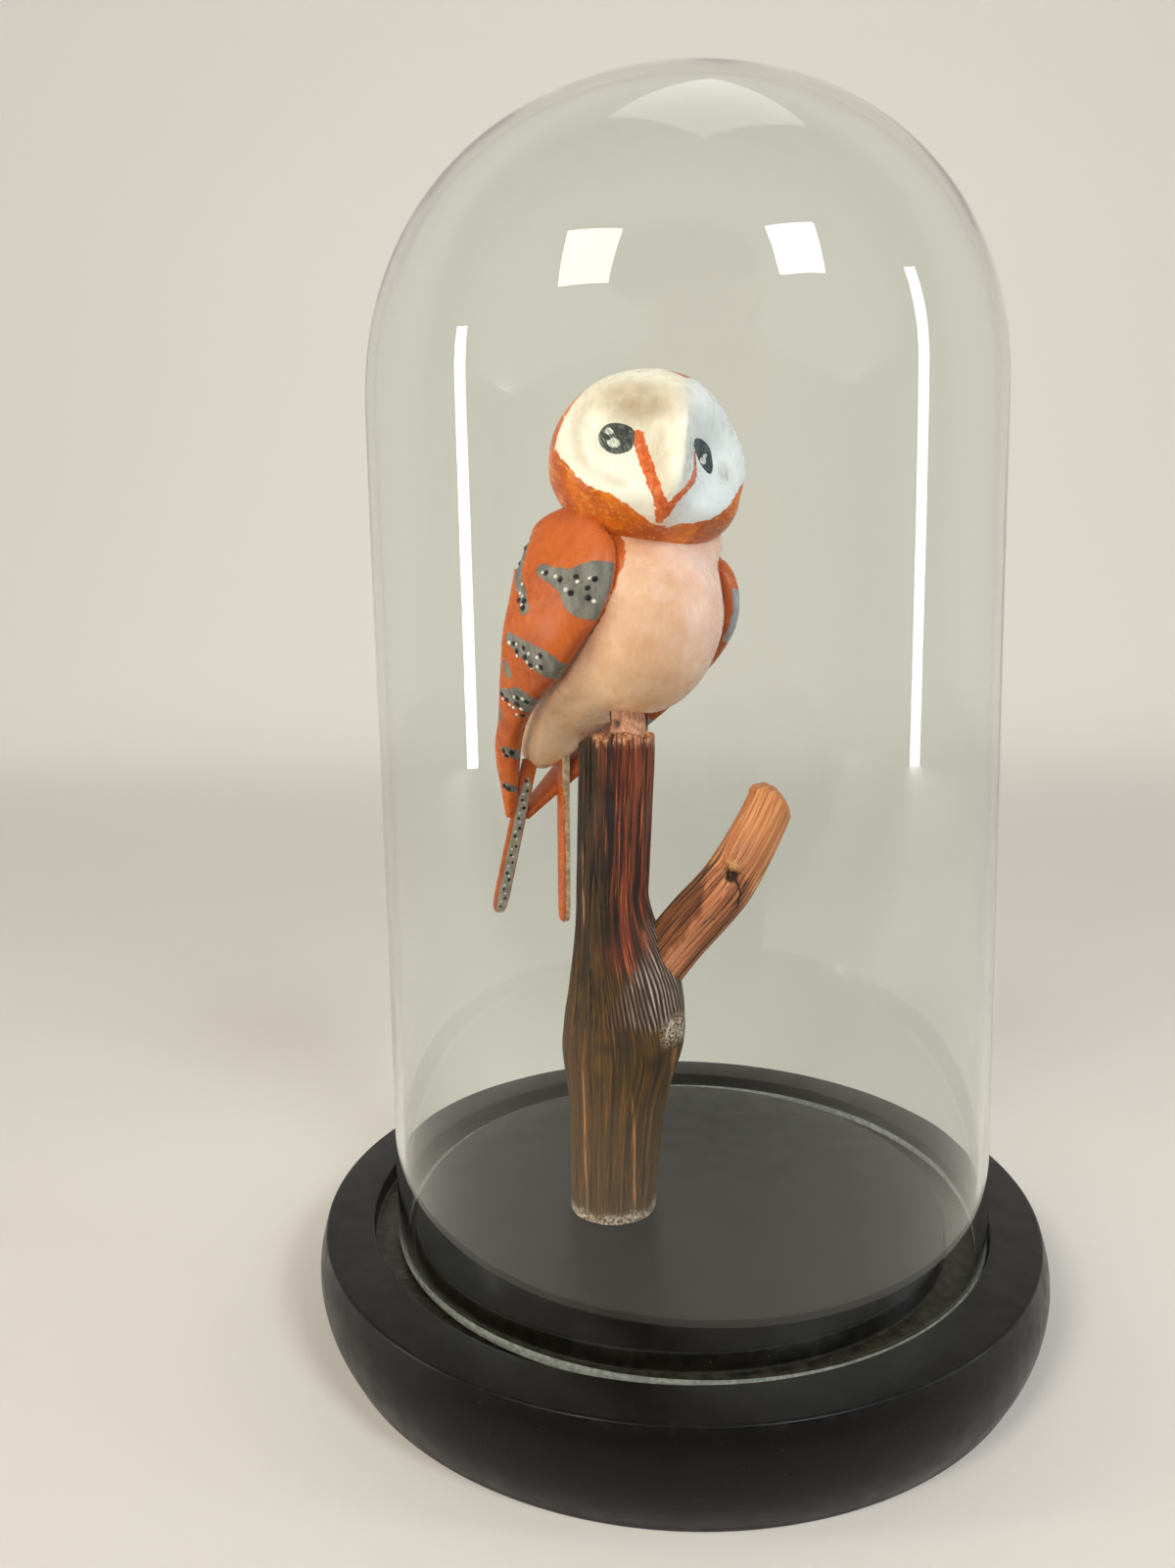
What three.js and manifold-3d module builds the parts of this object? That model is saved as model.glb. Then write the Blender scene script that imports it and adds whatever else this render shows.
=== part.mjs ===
// Carved and painted barn owl on a peeled twig, under a glass dome on a turned black base.
// Millimetres, +Z up. The origin is the centre of the base's underside.
import * as THREE from "three";
import { mergeVertices } from "three/addons/utils/BufferGeometryUtils.js";
import Module from "manifold-3d";

const wasm = await Module();
wasm.setup();

// ---- sizes ---------------------------------------------------------------------------------

const GAP = 0.3; // clearance between neighbouring pieces

// Turned base: a flat ring, a groove for the glass and a flat middle.
const BASE_HEIGHT = 22;
const BASE_FOOT_R = 81.5;
const BASE_BELLY_R = 85;
const BASE_TOP_R = 83.6;
const GROOVE_OUTER_R = 72.6;
const GROOVE_INNER_R = 63;
const GROOVE_DEPTH = 4.2;

// Glass dome, standing in the groove a little to the right of the middle.
const DOME_R = 69.5;
const GLASS = 2;
const DOME_SHIFT_X = 2.5;
const DOME_FOOT_Z = BASE_HEIGHT - GROOVE_DEPTH + GAP;
const DOME_SPRING_Z = 203; // where the straight wall ends and the cap starts
const DOME_TOP_Z = 269.5;
const CAP_SQUARENESS = 2.2;

// Twig: an upright stem with a swollen joint, and one cut side branch.
const STEM_FOOT_Z = BASE_HEIGHT + GAP;
const STEM_TOP_Z = 131.2;
const STEM_Y = -8.9;
const BRANCH_R = 5.7;

// The owl's own frame: forward, left and up from the middle of the stem's top.
const OWL_AT = new THREE.Vector3(-9.7, -8.9, STEM_TOP_Z);
const OWL_HEADING = THREE.MathUtils.degToRad(-47);
const OWL_LEAN = THREE.MathUtils.degToRad(10); // the whole carving leans to +X

// Head: a ball with two dished eye hollows and a ridge between them.
const HEAD_AT = new THREE.Vector3(-7.6, -1.5, 62.1);
const HEAD_HEADING = THREE.MathUtils.degToRad(-70);
const HEAD_HALF = { front: 22, back: 18.5, width: 21.7, top: 20.0, bottom: 20.2 };
const HEAD_SQUARENESS = { middle: 2.12, change: 0.1 }; // squarer towards the chin than the crown
const DISH = { side: 10.5, up: 2, radius: 13, depth: 6.5 };
const RIDGE = { side: -0.6, height: 3.4, width: 3.2, peakZ: -7, topZ: 20, chinZ: -15 };
const FACE_BACK = 2.5; // the white of the face starts this far in front of the ball's middle
const EYE_THICK = 1;
// Each painted eye: middle to the left and up, half length, half width and tilt.
const EYES = {
  owl_eye_right: { left: -11.5, up: 1.9, halfLong: 3.5, halfShort: 3.1, tilt: 5 },
  owl_eye_left: { left: 7.2, up: 2.1, halfLong: 3.9, halfShort: 2.4, tilt: -45 },
};

// Tail slats.
const SLAT = { width: 4, thick: 1.6 };

// ---- small helpers -------------------------------------------------------------------------

const TAU = Math.PI * 2;

// An eased value from a list of evenly spaced numbers, with t from 0 to 1.
function along(list, t) {
  const x = Math.min(Math.max(t, 0), 1) * (list.length - 1);
  const i = Math.min(Math.floor(x), list.length - 2);
  const u = x - i;
  const at = (k) => list[Math.max(0, Math.min(list.length - 1, k))];
  const [a, b, c, d] = [at(i - 1), at(i), at(i + 1), at(i + 2)];
  const line = b + 0.5 * u * (c - a);
  const bend = u * u * (a - 2.5 * b + 2 * c - 0.5 * d);
  const turn = u * u * u * (1.5 * (b - c) + 0.5 * (d - a));
  return line + bend + turn;
}

// Signed power, for rounded-square outlines.
const power = (x, p) => Math.sign(x) * Math.abs(x) ** p;

// A smooth hill that is 1 at x = 0 and 0 from x = 1 on.
const hill = (x) => (Math.abs(x) >= 1 ? 0 : (1 - x * x) ** 2);

// A closed skin over rings of points, with a single point at each end.
function skin(start, rings, end) {
  const count = rings[0].length;
  const points = [start, ...rings.flat(), end];
  const faces = [];
  const at = (ring, k) => 1 + ring * count + (k % count);
  for (let k = 0; k < count; k += 1) {
    faces.push(0, at(0, k + 1), at(0, k));
    faces.push(points.length - 1, at(rings.length - 1, k), at(rings.length - 1, k + 1));
  }
  for (let ring = 0; ring < rings.length - 1; ring += 1) {
    for (let k = 0; k < count; k += 1) {
      faces.push(at(ring, k), at(ring, k + 1), at(ring + 1, k));
      faces.push(at(ring, k + 1), at(ring + 1, k + 1), at(ring + 1, k));
    }
  }
  let volume = 0;
  for (let i = 0; i < faces.length; i += 3) {
    const [a, b, c] = [points[faces[i]], points[faces[i + 1]], points[faces[i + 2]]];
    volume += a.dot(new THREE.Vector3().crossVectors(b, c));
  }
  // Faces look outward whichever way the rings run.
  if (volume < 0) faces.reverse();
  const geometry = new THREE.BufferGeometry().setFromPoints(points);
  geometry.setIndex(faces);
  return geometry;
}

// A rounded ring in the plane of two unit directions.
function ring(centre, across, up, halfAcross, halfUp, count, squareness = 2) {
  const points = [];
  for (let k = 0; k < count; k += 1) {
    const angle = (k / count) * TAU;
    const x = halfAcross * power(Math.cos(angle), 2 / squareness);
    const y = halfUp * power(Math.sin(angle), 2 / squareness);
    points.push(centre.clone().addScaledVector(across, x).addScaledVector(up, y));
  }
  return points;
}

// A turned shape from a profile of [radius, height] pairs.
function turned(profile, segments) {
  const points = profile.map(([r, z]) => new THREE.Vector2(r, z));
  return new THREE.LatheGeometry(points, segments).rotateX(Math.PI / 2);
}

function toSolid(geometry) {
  const bare = new THREE.BufferGeometry();
  bare.setAttribute("position", geometry.getAttribute("position"));
  bare.setIndex(geometry.index);
  const merged = mergeVertices(bare, 1e-4);
  const made = new wasm.Manifold(
    new wasm.Mesh({
      numProp: 3,
      vertProperties: new Float32Array(merged.attributes.position.array),
      triVerts: new Uint32Array(merged.index.array),
    }),
  );
  return made;
}

function toGeometry(solid) {
  const mesh = solid.getMesh();
  const geometry = new THREE.BufferGeometry();
  geometry.setAttribute("position", new THREE.BufferAttribute(mesh.vertProperties, 3));
  geometry.setIndex(new THREE.BufferAttribute(mesh.triVerts, 1));
  geometry.computeVertexNormals();
  return geometry;
}

const group = new THREE.Group();

function add(name, geometry, color, roughness, extra = {}) {
  const material = new THREE.MeshStandardMaterial({ color, roughness, metalness: 0, ...extra });
  const mesh = new THREE.Mesh(geometry, material);
  mesh.name = name;
  group.add(mesh);
}

// ---- base and dome -------------------------------------------------------------------------

function baseProfile() {
  const floor = BASE_HEIGHT - GROOVE_DEPTH;
  const side = [];
  const steps = 5;
  for (let i = 0; i <= steps; i += 1) {
    const t = i / steps;
    const lean = BASE_FOOT_R + (BASE_TOP_R - BASE_FOOT_R) * t;
    const middle = (BASE_FOOT_R + BASE_TOP_R) / 2;
    const bulge = (BASE_BELLY_R - middle) * 4 * t * (1 - t);
    side.push([lean + bulge, 0.8 + (BASE_HEIGHT - 1.6) * t]);
  }
  return [
    [0, 0],
    [BASE_FOOT_R - 0.8, 0],
    ...side,
    [BASE_TOP_R - 0.8, BASE_HEIGHT],
    [GROOVE_OUTER_R, BASE_HEIGHT],
    [GROOVE_OUTER_R - 0.2, floor],
    [GROOVE_INNER_R + 0.3, floor],
    [GROOVE_INNER_R, BASE_HEIGHT],
    [0, BASE_HEIGHT],
  ];
}

function domeProfile() {
  const capWall = (shrink, steps) => {
    const wall = [];
    for (let i = 0; i <= steps; i += 1) {
      const angle = (i / steps) * (Math.PI / 2);
      const r = (DOME_R - shrink) * power(Math.cos(angle), 2 / CAP_SQUARENESS);
      const rise = (DOME_TOP_Z - DOME_SPRING_Z - shrink) * power(Math.sin(angle), 2 / CAP_SQUARENESS);
      wall.push([i === steps ? 0 : r, DOME_SPRING_Z + rise]);
    }
    return wall;
  };
  const outer = capWall(0, 10);
  const inner = capWall(GLASS, 10).reverse();
  return [
    [DOME_R - GLASS, DOME_FOOT_Z + 0.4],
    [DOME_R - GLASS + 0.5, DOME_FOOT_Z],
    [DOME_R - 0.5, DOME_FOOT_Z],
    [DOME_R, DOME_FOOT_Z + 0.4],
    ...outer,
    ...inner,
    [DOME_R - GLASS, DOME_FOOT_Z + 0.4],
  ];
}

// ---- twig ----------------------------------------------------------------------------------

function stemGeometry() {
  // From the foot to the torn top.
  const middleX = [-14.8, -14.3, -13.4, -12.2, -12.9, -14.0, -13.6, -13.0, -12.4];
  const radius = [10.0, 10.7, 11.6, 13.9, 11.2, 8.5, 8.3, 8.4, 8.6];
  const rows = 18;
  const count = 20;
  const rings = [];
  for (let i = 0; i <= rows; i += 1) {
    const t = i / rows;
    const z = STEM_FOOT_Z + (STEM_TOP_Z - 0.6 - STEM_FOOT_Z) * t;
    const points = [];
    for (let k = 0; k < count; k += 1) {
      const angle = (k / count) * TAU;
      const lobes = 1 + 0.02 * Math.cos(3 * angle + 2 * t) + 0.015 * Math.cos(5 * angle - 3 * t);
      const r = along(radius, t) * lobes;
      const torn = i === rows ? 0.6 * Math.cos(4 * angle + 1) : 0;
      points.push(
        new THREE.Vector3(
          along(middleX, t) + r * Math.cos(angle),
          STEM_Y + r * Math.sin(angle),
          z + torn,
        ),
      );
    }
    rings.push(points);
  }
  const foot = new THREE.Vector3(middleX[0], STEM_Y, STEM_FOOT_Z);
  const top = new THREE.Vector3(middleX.at(-1), STEM_Y, STEM_TOP_Z - 1.2);
  return skin(foot, rings, top);
}

function branchGeometry() {
  const from = new THREE.Vector3(-11.9, STEM_Y, 65.6);
  const to = new THREE.Vector3(21.8, STEM_Y - 1.5, 117.5);
  const aim = to.clone().sub(from).normalize();
  const side = new THREE.Vector3(0, 1, 0);
  const across = new THREE.Vector3().crossVectors(side, aim).normalize();
  const swell = [1.45, 1.78, 1.56, 1.2, 1.05, 1.02, 1.02, 1, 1];
  const rows = 10;
  const count = 14;
  const rings = [];
  for (let i = 0; i <= rows; i += 1) {
    const t = i / rows;
    const centre = from.clone().lerp(to, t);
    const r = along(swell, t) * BRANCH_R;
    rings.push(ring(centre, across, side, r, r * 0.97, count));
  }
  // The end is sawn a little askew.
  const rim = to.clone().addScaledVector(aim, 1.5);
  const askew = across.clone().addScaledVector(aim, -0.2);
  rings.push(ring(rim, askew, side, BRANCH_R - 1.3, BRANCH_R - 1.3, count));
  return skin(from.clone().addScaledVector(aim, -1), rings, to.clone().addScaledVector(aim, 1.8));
}

// ---- owl -----------------------------------------------------------------------------------

// A frame at a point of the owl, turned to a heading and leaning with the carving.
function leaningFrame(position, heading) {
  return new THREE.Matrix4()
    .makeRotationY(OWL_LEAN)
    .multiply(new THREE.Matrix4().makeRotationZ(heading))
    .setPosition(position);
}

const owlFrame = leaningFrame(OWL_AT, OWL_HEADING);

// One body from inside the head down through the breast and back to a blunt stub above the tail.
// Each station runs from the front line to the back line; the shoulders turn with the head.
const BODY = {
  front: [0.5, 2.6, 6.4, 11.2, 14.8, 13.6, 8.2, 0, -9.5, -18.6, -27, -33.1],
  frontHeight: [55, 50.3, 45.3, 39.2, 30.8, 20, 12, 6.4, 2.3, -2.1, -7, -10.9],
  back: [-16.5, -18.5, -19.5, -20, -20.5, -21.5, -23, -25, -27.8, -31.2, -35, -39.9],
  backHeight: [52, 45.5, 39, 33.5, 29, 25, 21.5, 17.8, 13.3, 8.3, 3, -1.5],
  halfWidth: [14.5, 17.4, 18, 17.4, 17.5, 16.4, 14.9, 13.4, 11, 8.6, 6.6, 5.4],
  side: [2.8, 3.2, 1.2, 0.7, 0, 0, 0, 0, 0, 0, 0, 0],
  turn: [23, 21, 13, 5, 0, 0, 0, 0, 0, 0, 0, 0],
};

// The middle of the body and its two cross directions at t, from 0 at the top to 1 at the stub.
function bodyStation(t) {
  const side = along(BODY.side, t);
  const front = new THREE.Vector3(along(BODY.front, t), side, along(BODY.frontHeight, t));
  const back = new THREE.Vector3(along(BODY.back, t), side, along(BODY.backHeight, t));
  const turn = new THREE.Matrix4().makeRotationZ(THREE.MathUtils.degToRad(-along(BODY.turn, t)));
  return {
    middle: front.clone().add(back).multiplyScalar(0.5),
    halfDepth: front.distanceTo(back) / 2,
    backward: back.sub(front).normalize().applyMatrix4(turn),
    left: new THREE.Vector3(0, 1, 0).applyMatrix4(turn),
  };
}

function bodyGeometry(grow) {
  const rows = 20;
  const count = 20;
  const rings = [];
  for (let i = 0; i <= rows; i += 1) {
    const t = i / rows;
    const { middle, halfDepth, backward, left } = bodyStation(t);
    const width = along(BODY.halfWidth, t) + grow;
    rings.push(ring(middle, left, backward, width, halfDepth + grow, count, 2.25));
  }
  const top = bodyStation(0).middle;
  const { middle: end, halfDepth, backward, left } = bodyStation(1);
  const tail = new THREE.Vector3().crossVectors(left, backward).normalize();
  tail.multiplyScalar(Math.sign(tail.dot(end.clone().sub(top))));
  const width = along(BODY.halfWidth, 1) + grow;
  const rim = end.clone().addScaledVector(tail, 1.4 + grow);
  rings.push(ring(rim, left, backward, width * 0.72, (halfDepth + grow) * 0.72, count));
  const geometry = skin(
    top.add(new THREE.Vector3(0, 0, 1)),
    rings,
    end.clone().addScaledVector(tail, 2.1 + grow),
  );
  return geometry.applyMatrix4(owlFrame);
}

const headFrame = leaningFrame(HEAD_AT.clone().applyMatrix4(owlFrame), HEAD_HEADING);

// The head's surface in a direction from its middle, pushed out by grow.
function headPoint(direction, grow) {
  // The ball stands upright, though the face on it leans.
  const even = direction.clone().applyAxisAngle(new THREE.Vector3(1, 0, 0), -OWL_LEAN);
  const n = HEAD_SQUARENESS.middle - HEAD_SQUARENESS.change * even.z;
  const sum =
    Math.abs(even.x / (even.x > 0 ? HEAD_HALF.front : HEAD_HALF.back)) ** n +
    Math.abs(even.y / HEAD_HALF.width) ** n +
    Math.abs(even.z / (even.z > 0 ? HEAD_HALF.top : HEAD_HALF.bottom)) ** n;
  const reach = sum ** (-1 / n);
  const p = direction.clone().multiplyScalar(reach);
  let change = 0;
  if (direction.x > 0) {
    const front = Math.min(1, direction.x * 2.2);
    const away = Math.hypot(Math.abs(p.y) - DISH.side, p.z - DISH.up) / DISH.radius;
    change -= DISH.depth * hill(away) * front;
    const span = p.z > RIDGE.peakZ ? RIDGE.topZ - RIDGE.peakZ : RIDGE.peakZ - RIDGE.chinZ;
    const keel = Math.cos(Math.min(1, Math.abs(p.z - RIDGE.peakZ) / span) * (Math.PI / 2));
    const across = (p.y - RIDGE.side) / RIDGE.width;
    change += RIDGE.height * keel * Math.exp(-across * across) * front;
  }
  return direction.clone().multiplyScalar(reach + change + grow);
}

function headGeometry(grow) {
  const columns = 34;
  const rows = 20;
  const rings = [];
  // The poles lie at the chin and crown so that the fine rows cross the face.
  for (let i = 1; i < rows; i += 1) {
    const lift = -Math.PI / 2 + (i / rows) * Math.PI;
    const points = [];
    for (let k = 0; k < columns; k += 1) {
      const even = (k / columns) * TAU;
      const turn = even - 0.35 * Math.sin(even);
      const direction = new THREE.Vector3(
        Math.cos(lift) * Math.cos(turn),
        Math.cos(lift) * Math.sin(turn),
        Math.sin(lift),
      );
      points.push(headPoint(direction, grow));
    }
    rings.push(points);
  }
  const chin = headPoint(new THREE.Vector3(0, 0, -1), grow);
  const crown = headPoint(new THREE.Vector3(0, 0, 1), grow);
  return skin(chin, rings, crown).applyMatrix4(headFrame);
}

// A prism along the head's forward direction, from an outline in its left and up directions.
function headPrism(outline, from, to) {
  const shape = new THREE.Shape(outline.map(([y, z]) => new THREE.Vector2(y, z)));
  const prism = new THREE.ExtrudeGeometry(shape, { depth: to - from, bevelEnabled: false });
  const turn = new THREE.Matrix4().makeBasis(
    new THREE.Vector3(0, 1, 0),
    new THREE.Vector3(0, 0, 1),
    new THREE.Vector3(1, 0, 0),
  );
  return prism.translate(0, 0, from).applyMatrix4(turn).applyMatrix4(headFrame);
}

// The white of the face: everything in front, above a heart's lower edge.
function faceOutline(grow) {
  const lower = [];
  const steps = 12;
  for (let i = 0; i <= steps; i += 1) {
    const y = -24 + (48 * i) / steps;
    lower.push([y, -13.7 + 0.28 * Math.abs(y) + 13 * (y / 24) ** 4 - grow]);
  }
  return [...lower, [24, 30], [-24, 30]];
}

function eyeOutline(eye, grow) {
  const outline = [];
  const tilt = THREE.MathUtils.degToRad(eye.tilt);
  for (let k = 0; k < 16; k += 1) {
    const angle = (k / 16) * TAU;
    const long = (eye.halfLong + grow) * Math.cos(angle);
    const short = (eye.halfShort + grow) * Math.sin(angle);
    outline.push([
      eye.left + long * Math.cos(tilt) - short * Math.sin(tilt),
      eye.up + long * Math.sin(tilt) + short * Math.cos(tilt),
    ]);
  }
  return outline;
}

// Wing: a long pillow-shaped teardrop from the shoulder to the tip. side is 1 for left, -1 for right.
function wingGeometry(side, sizes, grow) {
  const rows = 14;
  const count = 14;
  const line = (t) =>
    new THREE.Vector3(along(sizes.forward, t), side * along(sizes.out, t), along(sizes.height, t));
  const rings = [];
  for (let i = 0; i <= rows; i += 1) {
    const t = i / rows;
    const aim = line(t + 0.02).sub(line(t - 0.02)).normalize();
    const flare = THREE.MathUtils.degToRad(along(sizes.flare, t));
    const chord = new THREE.Vector3(-Math.cos(flare), side * Math.sin(flare), 0);
    chord.addScaledVector(aim, -chord.dot(aim)).normalize();
    const outward = new THREE.Vector3().crossVectors(chord, aim).normalize();
    const wide = along(sizes.halfChord, t) + grow;
    const thick = along(sizes.halfThick, t) + grow;
    rings.push(ring(line(t), chord, outward, wide, thick, count, 2.5));
  }
  const first = line(0).add(line(0).sub(line(0.03)).normalize().multiplyScalar(0.6 + grow));
  const last = line(1).add(line(1).sub(line(0.97)).normalize().multiplyScalar(0.6 + grow));
  return skin(first, rings, last).applyMatrix4(owlFrame);
}

const WING_RIGHT = {
  forward: [-12.5, -13.7, -8.5, -12.1, -18.9, -25.9, -29.6, -33.3],
  out: [16, 17.8, 19.5, 20.7, 18.3, 14.2, 10, 4],
  height: [50, 43, 34, 21, 11, 1, -8, -23.5],
  flare: [8, 8, 8, 8, 8, 8, 8, 8],
  halfChord: [4.6, 9.6, 14.2, 10.4, 6.4, 3.6, 3.0, 1.4],
  halfThick: [2.6, 3.8, 4.2, 3.8, 3.2, 2.6, 2.2, 1.4],
};
const WING_LEFT = {
  ...WING_RIGHT,
  forward: [-12.5, -10.2, -7.6, -10, -15.2, -23, -28.5, -34],
  out: [16, 18.2, 20.5, 22, 20, 15.6, 9.4, 0],
  halfChord: [4.6, 10.8, 14.2, 10.6, 7.3, 4.1, 3.0, 1.4],
};

function slatGeometry(top, tip, faceTurn) {
  const aim = tip.clone().sub(top).normalize();
  const turn = THREE.MathUtils.degToRad(faceTurn);
  const across = new THREE.Vector3(Math.sin(turn), Math.cos(turn), 0);
  across.addScaledVector(aim, -across.dot(aim)).normalize();
  const through = new THREE.Vector3().crossVectors(aim, across).normalize();
  const rings = [];
  const stations = [
    [0, 1],
    [0.5, 1],
    [0.9, 1],
    [0.97, 0.85],
    [1, 0.5],
  ];
  for (const [t, share] of stations) {
    const centre = top.clone().lerp(tip, t);
    rings.push(ring(centre, across, through, (SLAT.width / 2) * share, SLAT.thick / 2, 10, 5));
  }
  return skin(top, rings, tip).applyMatrix4(owlFrame);
}

// ---- assembly ------------------------------------------------------------------------------

const BLACK = "#0b0b0c";
const ORANGE = "#cb5f26";
const HEAD_ORANGE = "#c45f17";
const PEACH = "#e8bc98";
const CREAM = "#efe6d6";
const BARK = "#5b3a26";
const INK = "#1d1f22";

add("base_plate", turned(baseProfile(), 44), BLACK, 0.45);

const dome = turned(domeProfile(), 40).translate(DOME_SHIFT_X, 0, 0);
add("glass_dome", dome, "#f4f8f6", 0.04, { transparent: true, opacity: 0.3 });

const twig = toSolid(stemGeometry()).add(toSolid(branchGeometry()));
add("twig", toGeometry(twig), BARK, 0.8);

const bodyGrown = toSolid(bodyGeometry(GAP));
const headGrown = toSolid(headGeometry(GAP));
const body = toSolid(bodyGeometry(0)).subtract(headGrown);
add("owl_body", toGeometry(body), PEACH, 0.45);

const perch = new THREE.CylinderGeometry(4.4, 5, 12, 14)
  .rotateX(Math.PI / 2)
  .translate(OWL_AT.x, OWL_AT.y, STEM_TOP_Z + GAP + 6);
add("owl_feet_block", toGeometry(toSolid(perch).subtract(bodyGrown)), "#d9a389", 0.7);

const head = toSolid(headGeometry(0));
const faceBlock = toSolid(headPrism(faceOutline(0), FACE_BACK, 40));
const faceSocket = toSolid(headPrism(faceOutline(GAP), FACE_BACK - GAP, 40));
let face = head.intersect(faceBlock);
const eyeBed = toSolid(headGeometry(-EYE_THICK));
const eyeBedDeep = toSolid(headGeometry(-EYE_THICK - GAP));
for (const [name, eye] of Object.entries(EYES)) {
  const block = toSolid(headPrism(eyeOutline(eye, 0), 3, 40));
  add(name, toGeometry(head.intersect(block).subtract(eyeBed)), INK, 0.3);
  const socket = toSolid(headPrism(eyeOutline(eye, GAP), 3, 40)).subtract(eyeBedDeep);
  face = face.subtract(socket);
}
add("owl_head", toGeometry(head.subtract(faceSocket)), HEAD_ORANGE, 0.4);
add("owl_face", toGeometry(face), CREAM, 0.45);

const wings = { owl_wing_right: [-1, WING_RIGHT], owl_wing_left: [1, WING_LEFT] };
const wingGrown = [];
for (const [name, [side, sizes]] of Object.entries(wings)) {
  const wing = toSolid(wingGeometry(side, sizes, 0)).subtract(bodyGrown).subtract(headGrown);
  add(name, toGeometry(wing), ORANGE, 0.4);
  wingGrown.push(toSolid(wingGeometry(side, sizes, GAP)));
}

const slats = {
  owl_tail_right: [new THREE.Vector3(-34, -3.6, -7), new THREE.Vector3(-37, -2.2, -49.3), 10],
  owl_tail_left: [new THREE.Vector3(-27.6, 1.9, -4), new THREE.Vector3(-28, 11.5, -49.3), -35],
};
for (const [name, [top, tip, faceTurn]] of Object.entries(slats)) {
  let slat = toSolid(slatGeometry(top, tip, faceTurn)).subtract(bodyGrown);
  for (const wing of wingGrown) {
    slat = slat.subtract(wing);
  }
  add(name, toGeometry(slat), ORANGE, 0.4);
}

export default group;
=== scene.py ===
"""Carved and painted barn owl on a peeled twig, under a glass dome on a turned black base.

Pieces are shaped in millimetres and finished in metres, in the frame's own axes.
"""
import itertools
import logging
import math
from dataclasses import dataclass, field
from enum import Enum
from typing import Callable, Sequence

import bpy
import numpy as np
from mathutils import Matrix, Vector
from mathutils.bvhtree import BVHTree


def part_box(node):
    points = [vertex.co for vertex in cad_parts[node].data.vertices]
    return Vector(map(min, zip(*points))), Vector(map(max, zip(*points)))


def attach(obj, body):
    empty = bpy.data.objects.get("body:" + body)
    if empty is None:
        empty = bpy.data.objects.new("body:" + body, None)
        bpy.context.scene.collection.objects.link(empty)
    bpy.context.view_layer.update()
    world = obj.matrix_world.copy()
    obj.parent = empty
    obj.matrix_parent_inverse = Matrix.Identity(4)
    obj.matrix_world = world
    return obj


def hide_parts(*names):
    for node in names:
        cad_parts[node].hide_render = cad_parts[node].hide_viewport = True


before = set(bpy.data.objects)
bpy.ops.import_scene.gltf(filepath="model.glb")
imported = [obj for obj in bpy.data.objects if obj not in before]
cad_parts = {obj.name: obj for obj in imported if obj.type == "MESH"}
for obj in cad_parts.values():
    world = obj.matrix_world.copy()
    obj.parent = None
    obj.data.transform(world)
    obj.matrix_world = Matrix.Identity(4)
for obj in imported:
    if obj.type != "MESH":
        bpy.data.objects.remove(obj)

MM = 0.001
TAU = math.tau
ACROSS, BACK = np.eye(3)[:2]  # the frame's +X, and its +Y away from the viewer
Pair = tuple[float, float]
Rows = Sequence[Sequence[float]]
log = logging.getLogger("owl")


class Body(Enum):
    """The two parts that come apart: what stands still, and what lifts off."""

    DISPLAY = "display"
    DOME = "dome"


class Side(Enum):
    """The owl's own sides, with the sign of each along its left direction."""

    RIGHT = -1
    LEFT = 1


# ---- numbers and shapes ----------------------------------------------------------------------


def along(values: Sequence[float] | np.ndarray, t: np.ndarray | float) -> np.ndarray:
    """An eased value from a list of evenly spaced numbers.

    Args:
        values: The numbers, first to last.
        t: Where to read, from 0 to 1.

    Returns:
        The value at each t.
    """
    listed = np.asarray(values, float)
    x = np.clip(np.asarray(t, float), 0, 1) * (len(listed) - 1)
    i = np.minimum(np.floor(x).astype(int), len(listed) - 2)
    u = x - i
    a, b, c, d = (listed[np.clip(i + k, 0, len(listed) - 1)] for k in (-1, 0, 1, 2))
    bend = u * u * (a - 2.5 * b + 2 * c - 0.5 * d)
    return b + 0.5 * u * (c - a) + bend + u**3 * (1.5 * (b - c) + 0.5 * (d - a))


def read(values: Sequence[float], t: float) -> float:
    """One eased value from a list of evenly spaced numbers."""
    return float(along(values, t))


def curve(points: Rows, steps: int = 24, closed: bool = False) -> np.ndarray:
    """A smooth line through a few points.

    Args:
        points: Rows of numbers.
        steps: How many pieces the line is cut into.
        closed: Whether it runs back to its start.

    Returns:
        The line's rows.
    """
    rows = np.asarray(points, float)
    t = np.linspace(0, 1, steps + 1)
    if closed:
        count = len(rows)
        rows = np.vstack([rows[-1:], rows, rows[:2]])
        t = (1 + t[:-1] * count) / (count + 2)
    return np.column_stack([along(column, t) for column in rows.T])


def hill(x: np.ndarray) -> np.ndarray:
    """A smooth hill that is 1 at x = 0 and 0 from x = 1 on."""
    return (1 - np.minimum(np.abs(x), 1) ** 2) ** 2


def power(x: np.ndarray, p: float) -> np.ndarray:
    """Signed power, for rounded-square outlines."""
    return np.sign(x) * np.abs(x) ** p


def ease(x: np.ndarray, low: float, high: float) -> np.ndarray:
    """A smooth step from 0 at low to 1 at high."""
    t = np.clip((x - low) / (high - low), 0, 1)
    return t * t * (3 - 2 * t)


def unit(v: Sequence[float] | np.ndarray) -> np.ndarray:
    """The direction of a vector, or of each row of vectors."""
    v = np.asarray(v, float)
    return v / np.linalg.norm(v, axis=-1, keepdims=True)


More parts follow.
